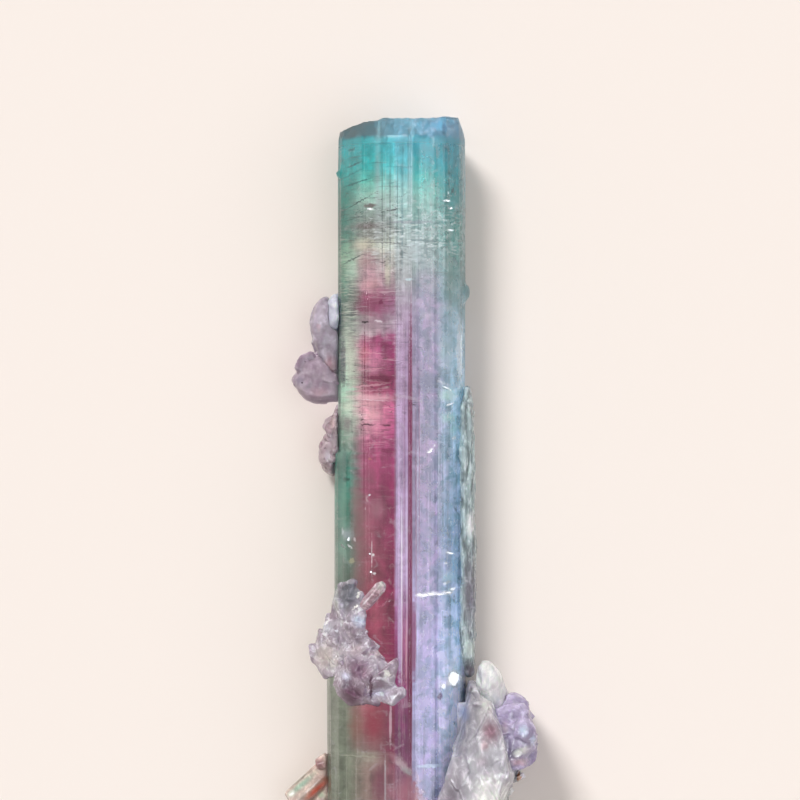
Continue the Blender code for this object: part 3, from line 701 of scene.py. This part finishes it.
def section(y, angles):
    """The prism's own outline at y, as points in the drawing, one for each angle."""
    centre = spot(CORE_X, y, CORE_Z)
    ring = []
    for angle in angles:
        hit = prism_tree.ray_cast(centre, Vector((math.cos(angle), 0.0, math.sin(angle))))[0]
        ring.append((hit.x - AXIS_X, hit.z))
    return np.array(ring) / MM


def inside(ring, share):
    """The ring drawn in towards the core's centre."""
    return CORE + (ring - CORE) * share


def end_height(x, z, towards):
    """How far along the prism its end lies at (x, z). towards is 1 for the tip and -1 for the base."""
    start = spot(x, LENGTH + BEYOND if towards > 0 else -BEYOND, z)
    hit = prism_tree.ray_cast(start, Vector((0.0, -towards, 0.0)))[0]
    return (hit.y - BASE_Y) / MM


def end_relief(x, z, towards):
    """The roughness of an end. The base is broken, so it has ridges too."""
    rough = END_GRAIN * noise.noise(Vector((x, z, towards * 7.0)) * 1.7)
    if towards < 0:
        ridges = noise.ridged_multi_fractal(Vector((x, z, 3.0)) * 0.5, 0.9, 2.1, 4, 1.0, 2.0)
        rough += BASE_RIDGE * ridges - BASE_DROP
    return rough


def end_rings(outline, towards):
    """Rings of points over an end of the prism, from near its middle out to the outline."""
    rings = []
    for share in END_SHARES:
        ring = [inside(np.array([x, z]), share) for x, _, z in outline]
        heights = [end_height(x, z, towards) + end_relief(x, z, towards) for x, z in ring]
        rings.append([(x, y, z) for (x, z), y in zip(ring, heights)])
    return rings


def grid_faces(rings, around):
    faces = []
    for row in range(rings - 1):
        for i in range(around):
            j = (i + 1) % around
            a, b = row * around, (row + 1) * around
            faces.append((a + i, a + j, b + j, b + i))
    return faces


def close_ends(vertices, faces, around, heights):
    """Closes a tube of rings with a fan at either end, each to a point on the core's axis at its own Y."""
    last = len(vertices) - around
    for first, y, at_tip in ((0, heights[0], False), (last, heights[1], True)):
        hub = len(vertices)
        vertices.append(spot(CORE_X, y, CORE_Z))
        for i in range(around):
            a, b = first + i, first + (i + 1) % around
            faces.append((a, b, hub) if at_tip else (b, a, hub))


def angles_of(upper, lower):
    """Directions round the section, closer together over its upper side, where they start at the left."""
    start, end = math.radians(UPPER_START), math.radians(UPPER_END)
    over = np.linspace(start, end, upper, endpoint=False)
    under = np.linspace(end, start - 2 * math.pi, lower, endpoint=False)
    return np.concatenate([over, under])


def nubs(angles, stations):
    """The knobs' height outwards for each station and angle."""
    relief = np.zeros((len(stations), len(angles)))
    for y, degrees, height, half_y, half_width in NUBS:
        away = (angles - math.radians(degrees)) * NUB_RADIUS / half_width
        along = (stations - y) / half_y
        relief += height * np.exp(-(along[:, None] ** 4)) * np.exp(-(away[None, :] ** 2))
    return relief


def striations(angles, stations):
    """Fine ribs and grooves along the prism, in millimetres outwards, for each station and angle."""
    dice = np.random.default_rng(STRIPE_SEED)
    relief = np.zeros((len(stations), len(angles)))
    for _ in range(STRIPES):
        middle = dice.uniform(math.radians(-20), math.radians(200))
        width = math.radians(dice.choice(STRIPE_WIDTHS))
        depth = dice.uniform(*STRIPE_DEPTHS)
        start, end = sorted(dice.uniform(-30, LENGTH + 30, 2))
        across = np.exp(-(((angles - middle) / width) ** 4))
        along = 1 / (1 + np.exp(-(stations - start) * 3)) / (1 + np.exp((stations - end) * 3))
        relief += depth * along[:, None] * across[None, :]
    return relief


def build_prism(material):
    """The outer surface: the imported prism's own shape, with ribs and knobs on its sides and rough ends."""
    angles = angles_of(UPPER_POINTS, LOWER_POINTS)
    outward = np.stack([np.cos(angles), np.sin(angles)], axis=1)
    stations = np.linspace(BODY_START, BODY_END, BODY_STATIONS)
    rings = []
    for y, relief in zip(stations, striations(angles, stations) + nubs(angles, stations)):
        ring = section(y, angles)
        fade = np.clip(ring[:, 1] / PLAIN_BELOW, 0, 1)
        rings.append([(x, y, z) for x, z in ring + outward * (relief * fade)[:, None]])
    rows = end_rings(rings[0], -1) + rings + end_rings(rings[-1], 1)[::-1]
    row_shares = [*END_SHARES, *[1.0] * len(rings), *END_SHARES[::-1]]
    around = len(angles)
    shares = [share for share in row_shares for _ in range(around)] + [0.0, 0.0]
    vertices = [spot(*point) for row in rows for point in row]
    faces = grid_faces(len(rows), around)
    close_ends(vertices, faces, around, [end_height(CORE_X, CORE_Z, towards) for towards in (-1, 1)])
    piece = new_piece("prism_visual", vertices, faces, material, "tourmaline", shares=shares)
    piece.visible_shadow = False
    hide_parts(PRISM)


def build_heart(material):
    """The coloured body, a little inside the surface. Its tip follows the termination, TIP_DEPTH under it."""
    angles = angles_of(120, 40)
    stations = np.linspace(HEART_START, BODY_END - TIP_DEPTH, 148)
    rows = [(y, inside(section(max(y, BODY_START), angles), HEART_SHARE), 1.0) for y in stations]
    shares = np.linspace(0.98, 0.1, 14)
    base = [(HEART_START, inside(rows[0][1], share), share) for share in shares]
    tip = [(LENGTH, inside(rows[-1][1], share), share) for share in shares]
    rows = base[::-1] + rows + tip
    vertices = [spot(x, min(y, end_height(x, z, 1) - TIP_DEPTH), z) for y, ring, _ in rows for x, z in ring]
    around = len(angles)
    faces = grid_faces(len(rows), around)
    last = (len(rows) - 1) * around
    faces += [tuple(range(around))[::-1], tuple(range(last, last + around))]
    shares = [share for _, _, share in rows for _ in range(around)]
    new_piece("body_visual", vertices, faces, material, "tourmaline", shares=shares)


def pink_share(y, angle):
    """The pink core's share of the prism's width: it tapers towards the tip and wavers along its length."""
    taper = min(1.0, max(0.02, (PINK_TOP - y) / PINK_TAPER)) ** 0.6
    swell = PINK_WAVER * noise.noise(Vector((math.cos(angle) * 2, math.sin(angle) * 2, y * 0.25)))
    return (PINK_SHARE + swell) * taper


def build_core(material):
    """The pink core, sealed inside the coloured body."""
    angles = angles_of(70, 26)
    stations = np.linspace(PINK_START, PINK_END, 60)
    vertices = []
    for y in stations:
        for angle, point in zip(angles, section(y, angles)):
            x, z = inside(point, pink_share(y, angle))
            vertices.append(spot(x, y, z))
    faces = grid_faces(len(stations), len(angles))
    close_ends(vertices, faces, len(angles), (PINK_START, PINK_END))
    new_piece("core_visual", vertices, faces, material, "tourmaline")


# ---------------------------------------------------------------- the masses of small crystals

STANDING = (1.0, 2.4, 1.0)  # facets drawn out along Y
CRYSTAL_SIDES = 6


def dense_copy(node, voxel):
    """A node's surface in the drawing, as an even net of small faces."""
    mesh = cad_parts[node].data.copy()
    to_drawing = Matrix.Scale(1 / MM, 4) @ Matrix.Translation((-AXIS_X, -BASE_Y, 0.0))
    mesh.transform(to_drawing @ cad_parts[node].matrix_world)
    obj = linked("dense", mesh)
    net = obj.modifiers.new("dense", "REMESH")
    net.mode = "VOXEL"
    net.voxel_size = voxel
    evaluated = obj.evaluated_get(bpy.context.evaluated_depsgraph_get())
    made = evaluated.to_mesh()
    points = np.empty(len(made.vertices) * 3)
    made.vertices.foreach_get("co", points)
    faces = np.array([tuple(p.vertices) for p in made.polygons])
    evaluated.to_mesh_clear()
    bpy.data.objects.remove(obj)
    bpy.data.meshes.remove(mesh)
    return points.reshape(-1, 3), faces


def normals_of(points, faces):
    corners = points[faces]
    across = np.cross(corners[:, 2] - corners[:, 0], corners[:, 3] - corners[:, 1])
    normals = np.zeros_like(points)
    for corner in range(4):
        np.add.at(normals, faces[:, corner], across)
    return normals / np.maximum(np.linalg.norm(normals, axis=1), 1e-9)[:, None]


def relaxed(points, faces, times):
    """The points, each moved to the middle of its neighbours, a number of times."""
    ends = np.concatenate([faces[:, [i, (i + 1) % 4]] for i in range(4)])
    count = np.bincount(ends.ravel(), minlength=len(points))
    for _ in range(times):
        total = np.zeros_like(points)
        np.add.at(total, ends[:, 0], points[ends[:, 1]])
        np.add.at(total, ends[:, 1], points[ends[:, 0]])
        points = total / count[:, None]
    return points


def facets(points, dice, size, tilt, step, stretch):
    """Heights that break a surface into small flat faces, each leaning its own way."""
    places = points / (np.array(stretch) * size)
    low, high = places.min(axis=0) - 1, places.max(axis=0) + 1
    seeds = dice.uniform(low, high, (int(np.prod(high - low)), 3))
    tree = KDTree(len(seeds))
    for index, seed in enumerate(seeds):
        tree.insert(seed, index)
    tree.balance()
    nearest = np.array([tree.find(place)[1] for place in places])
    lean = dice.normal(0.0, tilt, seeds.shape)
    level = dice.uniform(-step, step, len(seeds))
    return ((places - seeds[nearest]) * lean[nearest]).sum(axis=1) * size + level[nearest]


def lumps(points, scale, seed):
    shift = Vector((seed * 3.7, seed * 1.3, seed * 2.1))
    return np.array([noise.fractal(Vector(p) * scale + shift, 0.8, 2.0, 4) for p in points])


def sprouts(dice, points, normals, count, sizes, long_share, region=None):
    """Small crystals standing on a surface: a list of (points, faces)."""
    ready = np.flatnonzero((normals[:, 2] > -0.2) & (points[:, 2] > 1.2))  # not underneath, nor at the floor
    if region is not None:
        ready = ready[region(points[ready])]
    made = []
    for index in dice.choice(ready, min(count, len(ready)), replace=False):
        outward = Vector(normals[index]) + Vector(dice.normal(0, 0.45, 3))
        across = dice.uniform(*sizes)
        length = across * dice.uniform(*long_share)
        made.append(crystal(dice, Vector(points[index]), outward.normalized(), across, length))
    return made


def crystal(dice, foot, axis, across, length):
    """One small six-sided crystal with an oblique end, sunk a little into what it stands on."""
    turn = axis.to_track_quat("Z", "Y").to_matrix() @ Matrix.Rotation(dice.uniform(0, 6.28), 3, "Z")
    squash = dice.uniform(0.35, 0.9)
    lean_x, lean_y = dice.uniform(-0.35, 0.35, 2)
    rings = ((-0.6, 1.0), (0.72, 1.0), (1.0, dice.uniform(0.15, 0.6)))
    points = []
    for level, girth in rings:
        for i in range(CRYSTAL_SIDES):
            a = 2 * math.pi * i / CRYSTAL_SIDES
            x, y = math.cos(a) * girth * across / 2, math.sin(a) * girth * squash * across / 2
            z = level * length + (lean_x * x + lean_y * y if level > 0 else 0.0)
            points.append(foot + turn @ Vector((x, y, z)))
    faces = grid_faces(len(rings), CRYSTAL_SIDES)
    faces += [tuple(range(CRYSTAL_SIDES))[::-1], tuple(range(2 * CRYSTAL_SIDES, 3 * CRYSTAL_SIDES))]
    return points, faces


def joined(parts):
    """The points and faces of several parts in one list each, with the points in the frame."""
    vertices, faces = [], []
    for part_points, part_faces in parts:
        first = len(vertices)
        vertices += [spot(*point) for point in part_points]
        faces += [tuple(first + int(i) for i in face) for face in part_faces]
    return vertices, faces


def cluster(
    node, material, slot, seed, *, swell, voxel=0.12, smooth=3, finish=1, bumps=(), layers=(), sprouting=()
):
    """Replaces a CAD node by the same body with its small faces and crystals.

    voxel is the net's size. smooth and finish are how often it is relaxed, before and after swell, bumps
    (height and scale) and layers of facets (size, tilt, step and stretch). sprouting adds small crystals.
    """
    dice = np.random.default_rng(seed)
    points, faces = dense_copy(node, voxel)
    points = relaxed(points, faces, smooth)
    relief = np.full(len(points), swell)
    for strength, scale in bumps:
        relief += strength * lumps(points, scale, seed)
    for layer in layers:
        relief += facets(points, dice, *layer)
    relief *= np.clip(points[:, 2] - points[:, 2].min(), 0.0, 1.0)  # none of it at the foot
    points = relaxed(points + normals_of(points, faces) * relief[:, None], faces, finish)
    parts = [(points, faces)]
    normals = normals_of(points, faces)
    for options in sprouting:
        parts += sprouts(dice, points, normals, *options)
    piece = new_piece(node + "_visual", *joined(parts), material, slot, smooth=False)
    shade_smooth_first(piece, len(faces))
    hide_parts(node)
    return piece


def shade_smooth_first(piece, count):
    """The body is shaded smooth, and the small crystals on it flat."""
    flags = np.arange(len(piece.data.polygons)) < count
    piece.data.polygons.foreach_set("use_smooth", flags)


def flanks(points):
    """The points of the albite mass on its sides, which the photo doesn't show."""
    return (points[:, 2] < 7.0) & (points[:, 1] < 22.0)


def near_blade(points):
    """The points of the lobe beside the blade, where small flakes fill the crease between them."""
    return abs(points[:, 1] - 67.8 + 1.3 * (points[:, 0] + 10.4)) < 0.8


def lobe_top(points):
    return (points[:, 1] > 65.3) & (points[:, 0] < -9.6)


def front_middle(points):
    return (points[:, 0] > -8.0) & (points[:, 1] < 36.0) & (points[:, 1] > 29.5)


def front_right(points):
    return (points[:, 0] > -2.6) & (points[:, 1] > 30.9)


# Paint on the masses, in the form of the crystal's marks.
LOBE_MARKS = (
    (-12, 63.6, 0.8, 0.9, (152, 146, 164), 0.7), (-9.6, 62.2, 1.4, 0.8, (190, 160, 172), 0.6),
    (-11.65, 63.35, 0.13, 0.1, (20, 14, 24), 1),
)  # fmt: skip
BLADE_MARKS = (
    (-9.6, 71.6, 0.9, 1.7, (204, 198, 214), 0.6), (-8.3, 65.4, 0.9, 1.7, (166, 120, 132), 0.75),
    (-9.7, 69.9, 0.3, 0.7, (176, 150, 164), 0.6),
)  # fmt: skip
FLAKE_MARKS = (
    (-8.6, 54.6, 0.5, 1, (214, 212, 224), 0.7), (-8, 58.6, 0.5, 1.2, (196, 172, 170), 0.6),
    (-8.95, 55.6, 0.12, 0.1, (90, 70, 90), 0.8),
)  # fmt: skip
# On the front mass, the white and pale blue-white marks are painted glints; the greys, creams and mauves are
# its own colour.
FRONT_MARKS = (
    (-6.1, 38.4, 2.4, 2.3, (114, 118, 130), 0.95, 30), (-6.2, 39.3, 1.1, 0.35, (74, 80, 94), 0.7, 20),
    (-7.6, 37.8, 0.5, 1.6, (178, 186, 184), 0.7), (-4.6, 36.8, 1.2, 0.3, (240, 244, 250), 0.8, 40),
    (-4.7, 35.3, 1.1, 0.8, (196, 210, 232), 0.85, -20), (-8.6, 34.2, 0.9, 0.9, (210, 216, 226), 0.7),
    (-6.8, 33.6, 1.4, 1, (186, 180, 194), 0.6), (-8.8, 31, 1.7, 2.4, (214, 206, 202), 0.75, -30),
    (-5.2, 31.9, 1.2, 0.9, (214, 200, 206), 0.6), (-4.8, 29.6, 1.9, 1.7, (140, 104, 130), 0.85),
    (-6.2, 29, 0.7, 0.8, (206, 206, 222), 0.7), (-2.6, 31.6, 0.8, 0.6, (216, 206, 208), 0.7),
    (-1.6, 29.2, 0.5, 0.8, (232, 234, 236), 0.8), (-2.4, 27, 1.4, 0.7, (206, 206, 232), 0.8),
    (-5.6, 26.6, 2.4, 2.2, (106, 68, 94), 0.95), (-3.4, 27.6, 0.22, 2, (84, 40, 66), 0.9),
    (-3, 25.4, 1.8, 0.9, (104, 68, 94), 0.85), (-4.9, 38.4, 0.26, 0.5, (255, 255, 255), 1, -30),
    (-5.3, 36.9, 0.12, 0.55, (255, 255, 255), 1, -45), (-8.6, 35, 0.14, 0.6, (250, 255, 255), 1, -35),
    (-8.9, 33.6, 0.4, 0.2, (240, 246, 255), 1, 20), (-7.5, 34, 0.28, 0.2, (236, 242, 255), 0.9),
    (-1.5, 29.4, 0.4, 0.6, (250, 255, 250), 1, 30), (-2.2, 26.9, 0.44, 0.36, (230, 238, 255), 1),
    (-0.9, 26.6, 0.34, 0.28, (236, 242, 255), 1), (-6.4, 28.8, 0.7, 0.5, (226, 230, 250), 1),
)  # fmt: skip
# The two long white strokes along the clear crystal are painted glints on its edge; the grey oval is its end
# face.
CLEAR_MARKS = (
    (-2.1, 39.8, 0.5, 0.9, (206, 214, 208), 1, -42), (-4, 37.8, 0.25, 0.8, (246, 250, 252), 0.8, -45),
    (-2.7, 38.2, 0.14, 1.4, (236, 236, 240), 0.8, -42),
)  # fmt: skip
QUARTZ_MARKS = (
    (11.9, 26.4, 0.7, 2.4, (255, 255, 255), 0.9, 33), (9.6, 29, 0.5, 1.4, (206, 212, 220), 0.5),
    (10.9, 29.6, 0.5, 0.5, (208, 214, 220), 0.5),
)  # fmt: skip
# The white and blue-white marks on the purple mica are painted glints.
PURPLE_MARKS = (
    (14.5, 22.4, 0.7, 0.9, (216, 232, 255), 1, 20), (14.3, 19.9, 1.3, 0.6, (252, 252, 255), 1, 25),
    (15.7, 21.2, 0.5, 0.8, (214, 228, 255), 0.9), (14, 18.6, 1.4, 0.6, (226, 196, 208), 0.8),
    (12.3, 22.6, 0.6, 1.2, (206, 186, 204), 0.7),
)  # fmt: skip
MASS_MARKS = (
    (9.8, 24.8, 1.6, 2.6, (206, 200, 206), 0.6), (7.8, 22.8, 1.3, 5.2, (160, 160, 172), 0.95, -14),
    (8.3, 27, 0.7, 1.6, (150, 150, 158), 0.95), (7.4, 24.6, 0.9, 1.3, (156, 168, 200), 0.95),
    (6, 14.8, 1.8, 4, (156, 148, 162), 0.95, -8), (10.6, 22.5, 1.5, 1.8, (166, 124, 142), 0.85),
    (11.6, 24.4, 0.9, 1.6, (250, 252, 255), 1, 30), (10.2, 25.6, 1, 1.4, (252, 254, 255), 0.9, 10),
    (9.9, 20.9, 0.6, 0.8, (200, 172, 182), 0.8), (10.8, 14.4, 3.2, 3.6, (252, 254, 255), 1),
    (10.4, 11.4, 2.6, 2.4, (252, 253, 255), 1), (10.4, 16.6, 1.6, 1.4, (250, 250, 255), 0.9),
    (9.6, 19, 1, 0.9, (206, 196, 208), 0.6), (14.1, 16.6, 0.3, 0.8, (190, 130, 80), 0.9),
)  # fmt: skip
# The white mark at Y 46.6 stands for painted glints; the greys are the crust's own colour.
CRUST_MARKS = (
    (8.3, 46.6, 0.6, 1.8, (250, 252, 255), 0.75), (8.3, 38.4, 1.2, 6.2, (122, 120, 132), 0.95),
    (8.3, 31.9, 0.9, 1.3, (186, 194, 188), 0.6), (8.3, 29.4, 1.2, 1.6, (112, 106, 114), 0.95),
)  # fmt: skip
ROD_MARKS = (
    (-11.8, 15.4, 2.6, 0.5, (158, 198, 180), 0.85, 41), (-12, 16, 2.4, 0.18, (120, 130, 122), 0.6, 38.7),
    (-12.9, 14.4, 0.6, 0.44, (244, 250, 246), 0.9, 42), (-9.9, 14.9, 2.4, 0.5, (250, 128, 108), 1, 42),
    (-10.3, 15.2, 1.8, 0.08, (236, 206, 190), 0.6, 43), (-9.4, 14.2, 0.6, 0.5, (196, 212, 188), 0.85),
    (-9.6, 18, 1.1, 0.9, (160, 116, 122), 0.85), (-9, 16.2, 0.7, 0.5, (200, 120, 96), 0.6),
)  # fmt: skip

# Each mass: its node and slot, its material's name and three shades, its seed, and what its paint and its
# relief have of their own.
MASSES = (
    ("lepidolite_lobe", "lepidolite", "lobe", ((156, 138, 156), (176, 160, 176), (204, 196, 210)), 3,
     {"clear": 0.2, "rough": 0.3, "marks": LOBE_MARKS, "frost": 0.3, "reach": (0.15, 0.15)},
     {"smooth": 6, "swell": 0.28, "bumps": ((0.06, 0.5), (0.02, 1.6)), "layers": ((2.4, 0.05, 0.0, EVEN),),
      "sprouting": ((7, (0.5, 0.9), (0.2, 0.4), lobe_top), (12, (0.6, 1.2), (0.15, 0.35), near_blade))}),
    ("lepidolite_blade", "lepidolite", "blade", ((158, 146, 162), (180, 172, 188), (210, 208, 222)), 5,
     {"clear": 0.2, "rough": 0.36, "marks": BLADE_MARKS},
     {"smooth": 5, "swell": 0.26, "bumps": ((0.04, 0.5), (0.025, 1.5)),
      "layers": ((2.6, 0.05, 0.0, STANDING),)}),
    ("pale_mica_blade", "mica_pale", "pale_blade", ((206, 210, 234), (220, 224, 244), (240, 244, 255)), 7,
     {"clear": 0.2, "rough": 0.36},
     {"swell": 0.24, "layers": ((1.8, 0.05, 0.0, STANDING),)}),
    ("lepidolite_flakes", "lepidolite", "flakes", ((170, 148, 158), (190, 174, 184), (214, 206, 216)), 9,
     {"clear": 0.25, "rough": 0.24, "marks": FLAKE_MARKS, "frost": 0.3},
     {"voxel": 0.09, "swell": 0.22, "bumps": ((0.04, 0.6),), "layers": ((2.0, 0.06, 0.0, EVEN),)}),
    ("lepidolite_front", "lepidolite", "front", ((150, 136, 150), (188, 182, 194), (236, 240, 250)), 11,
     {"clear": 0.35, "rough": 0.08, "marks": FRONT_MARKS, "frost": 0.5},
     {"voxel": 0.10, "smooth": 5, "swell": 0.20, "finish": 2, "bumps": ((0.10, 0.26),),
      "layers": ((2.6, 0.24, 0.06, EVEN),),
      "sprouting": ((10, (0.8, 1.4), (0.2, 0.4), front_middle), (2, (0.4, 0.7), (0.5, 0.8), front_right))}),
    ("clear_crystal", "quartz", "clear", ((186, 160, 172), (206, 190, 198), (240, 240, 246)), 13,
     {"clear": 0.7, "rough": 0.04, "marks": CLEAR_MARKS, "frost": 0.2},
     {"voxel": 0.08, "smooth": 1, "swell": 0.04}),
    ("quartz_crystal", "quartz", "quartz", ((236, 244, 252), (250, 253, 255), (255, 255, 255)), 15,
     {"clear": 0.3, "rough": 0.10, "marks": QUARTZ_MARKS, "frost": 0.5, "streaks": (1.0, 0.5, 1.0)},
     {"smooth": 1, "swell": 0.28, "bumps": ((0.05, 0.6),), "layers": ((2.4, 0.12, 0.02, STANDING),)}),
    ("lepidolite_right", "lepidolite", "purple", ((168, 158, 192), (190, 182, 212), (228, 226, 246)), 17,
     {"clear": 0.15, "rough": 0.14, "marks": PURPLE_MARKS, "frost": 0.25},
     {"smooth": 4, "swell": 0.36, "finish": 2, "bumps": ((0.12, 0.4),), "layers": ((2.4, 0.20, 0.05, EVEN),),
      "sprouting": ((6, (0.8, 1.5), (0.15, 0.3)),)}),
    ("albite_mass", "albite", "mass", ((198, 196, 208), (222, 222, 232), (248, 250, 255)), 19,
     {"clear": 0.3, "rough": 0.16, "marks": MASS_MARKS, "frost": 0.35, "streaks": (1.0, 0.6, 1.0)},
     {"voxel": 0.13, "smooth": 8, "swell": 0.30, "bumps": ((0.10, 0.22), (0.03, 1.4)),
      "layers": ((3.0, 0.12, 0.0, (1.0, 1.8, 1.0)),),
      "sprouting": ((60, (1.4, 3.0), (0.10, 0.22), flanks),)}),
    ("mica_crust", "mica_pale", "crust", ((112, 126, 130), (168, 188, 192), (218, 232, 234)), 21,
     {"clear": 0.1, "rough": 0.2, "marks": CRUST_MARKS, "frost": 0.5, "reach": (0.4, 1.2),
      "streaks": (2.4, 0.6, 1.0)},
     {"voxel": 0.11, "swell": 0.24, "bumps": ((0.05, 0.9),),
      "layers": ((1.2, 0.10, 0.02, (0.6, 2.0, 1.0)),)}),
    ("small_tourmalines", "tourmaline_pale", "rod", ((206, 182, 174), (222, 204, 194), (240, 232, 224)), 23,
     {"clear": 0.3, "rough": 0.08, "marks": ROD_MARKS, "frost": 0.3, "reach": (0.1, 0.1)},
     {"voxel": 0.09, "smooth": 2, "swell": 0.08}),
)  # fmt: skip
# These cast no shadow, since it would lie as a dark wedge on the crystal or the floor beside them.
WITHOUT_SHADOW = ("lepidolite_lobe", "lepidolite_front", "clear_crystal", "mica_crust")


def build_clusters():
    """Each mass of small crystals on the prism, with its own paint."""
    for node, slot, name, shades, seed, paint, relief in MASSES:
        piece = cluster(node, cluster_material(name, shades, **paint), slot, seed, **relief)
        piece.visible_shadow = node not in WITHOUT_SHADOW


# ---------------------------------------------------------------- the stage, the lights and the camera

BACKDROP = srgb(251, 241, 232)
FLOOR = (0.922, 0.868, 0.836)
FLOOR_HALF, FLOOR_DROP = 6.0, 0.02 * MM
WORLD_STRENGTH = 0.43
BRIGHTEST_BOUNCE = 30.0

# Distant lights: strength, where they come from, how wide they look in degrees, and colour.
SUNS = {
    "key": (2.4, (-0.64, 1.05, 1.0), 18, (1.0, 0.97, 0.94)),
    "fill": (0.7, (1.0, -0.1, 1.2), 60, (0.9, 0.95, 1.0)),
}
# Lights seen only in the crystal's shine. tilt and pitch turn each from straight overhead, to the right and
# towards the tip, and spread is how wide it looks, all in degrees. Then its length in metres, its radiance
# and its colour.
SOFTBOXES = {
    "right_box": (50.0, 0.0, 24.0, 0.5, 3.0, (0.9, 0.95, 1.0)),
    "left_box": (-24.0, 0.0, 14.0, 0.5, 1.2, (1.0, 1.0, 1.0)),
    "glint_left": (-36.0, -30.0, 16.0, 0.2, 12.0, (0.94, 0.96, 1.0)),
    "glint_right": (34.0, -26.0, 14.0, 0.2, 10.0, (0.92, 0.95, 1.0)),
    "glint_low": (8.0, -38.0, 16.0, 0.2, 9.0, (0.9, 0.94, 1.0)),
}
SOFTBOX_DISTANCE = 0.6  # metres
SOFTBOX_AIM_Z = 6.0


def softbox(name, tilt, pitch, spread, length, radiance, tint):
    width = 2 * SOFTBOX_DISTANCE * math.tan(math.radians(spread / 2))
    light = bpy.data.lights.new(name, "AREA")
    light.shape = "RECTANGLE"
    light.size, light.size_y = width, length
    light.energy = radiance * math.pi * width * length
    light.color = tint
    turn = Euler((math.radians(-pitch), math.radians(tilt), 0.0), "YXZ").to_matrix()
    obj = linked(name, light)
    obj.location = spot(0.0, LENGTH / 2, SOFTBOX_AIM_Z) + turn @ Vector((0.0, 0.0, SOFTBOX_DISTANCE))
    obj.rotation_euler = turn.to_euler()
    obj.visible_camera = False
    obj.visible_diffuse = False
    obj.visible_transmission = False


def sun(name, strength, source, spread, tint):
    """A distant light that nothing mirrors."""
    light = bpy.data.lights.new(name, "SUN")
    light.energy = strength
    light.angle = math.radians(spread)
    light.color = tint
    obj = linked(name, light)
    obj.rotation_euler = Vector(source).to_track_quat("Z", "Y").to_euler()
    obj.visible_glossy = False


def build_floor():
    material = bpy.data.materials.new("paper")
    finish_material(Graph(material), {"Base Color": FLOOR, "Roughness": 0.9, "Specular IOR Level": 0.0})
    mesh = bpy.data.meshes.new("floor")
    corners = [(-1, -1), (1, -1), (1, 1), (-1, 1)]
    mesh.from_pydata([(x * FLOOR_HALF, y * FLOOR_HALF, 0) for x, y in corners], [], [(0, 1, 2, 3)])
    mesh.materials.append(material)
    floor = linked("floor", mesh)
    floor.location.z = -FLOOR_DROP


def build_world():
    """A backdrop that the camera sees at full strength, and a dimmer light from all round."""
    world = bpy.data.worlds.new("studio")
    bpy.context.scene.world = world
    g = Graph(world)
    seen = g.add("ShaderNodeLightPath", output="Is Camera Ray")
    strength = g.add("ShaderNodeMix", named={0: seen, 2: WORLD_STRENGTH, 3: 1.0})
    g.add("ShaderNodeOutputWorld", g.add("ShaderNodeBackground", colour(BACKDROP), strength))


def build_camera():
    """Straight above the middle of the photo, at the distance where the silhouette has its true size."""
    camera = bpy.data.cameras.new("camera")
    camera.lens, camera.sensor_width = LENS, SENSOR_WIDTH
    obj = linked("camera", camera)
    obj.location = spot(0.0, FRAME_CENTRE_Y, FRAME_WIDTH * LENS / SENSOR_WIDTH + SILHOUETTE_HEIGHT)
    bpy.context.scene.camera = obj


def main():
    """The crystal, and all that stands round it."""
    bpy.context.scene.view_settings.view_transform = "Standard"
    bpy.context.scene.cycles.sample_clamp_indirect = BRIGHTEST_BOUNCE
    build_prism(prism_material())
    build_heart(heart_material())
    build_core(core_material())
    build_floor()
    build_world()
    for name, settings in SUNS.items():
        sun(name, *settings)
    for name, settings in SOFTBOXES.items():
        softbox(name, *settings)
    build_camera()


main()
build_clusters()
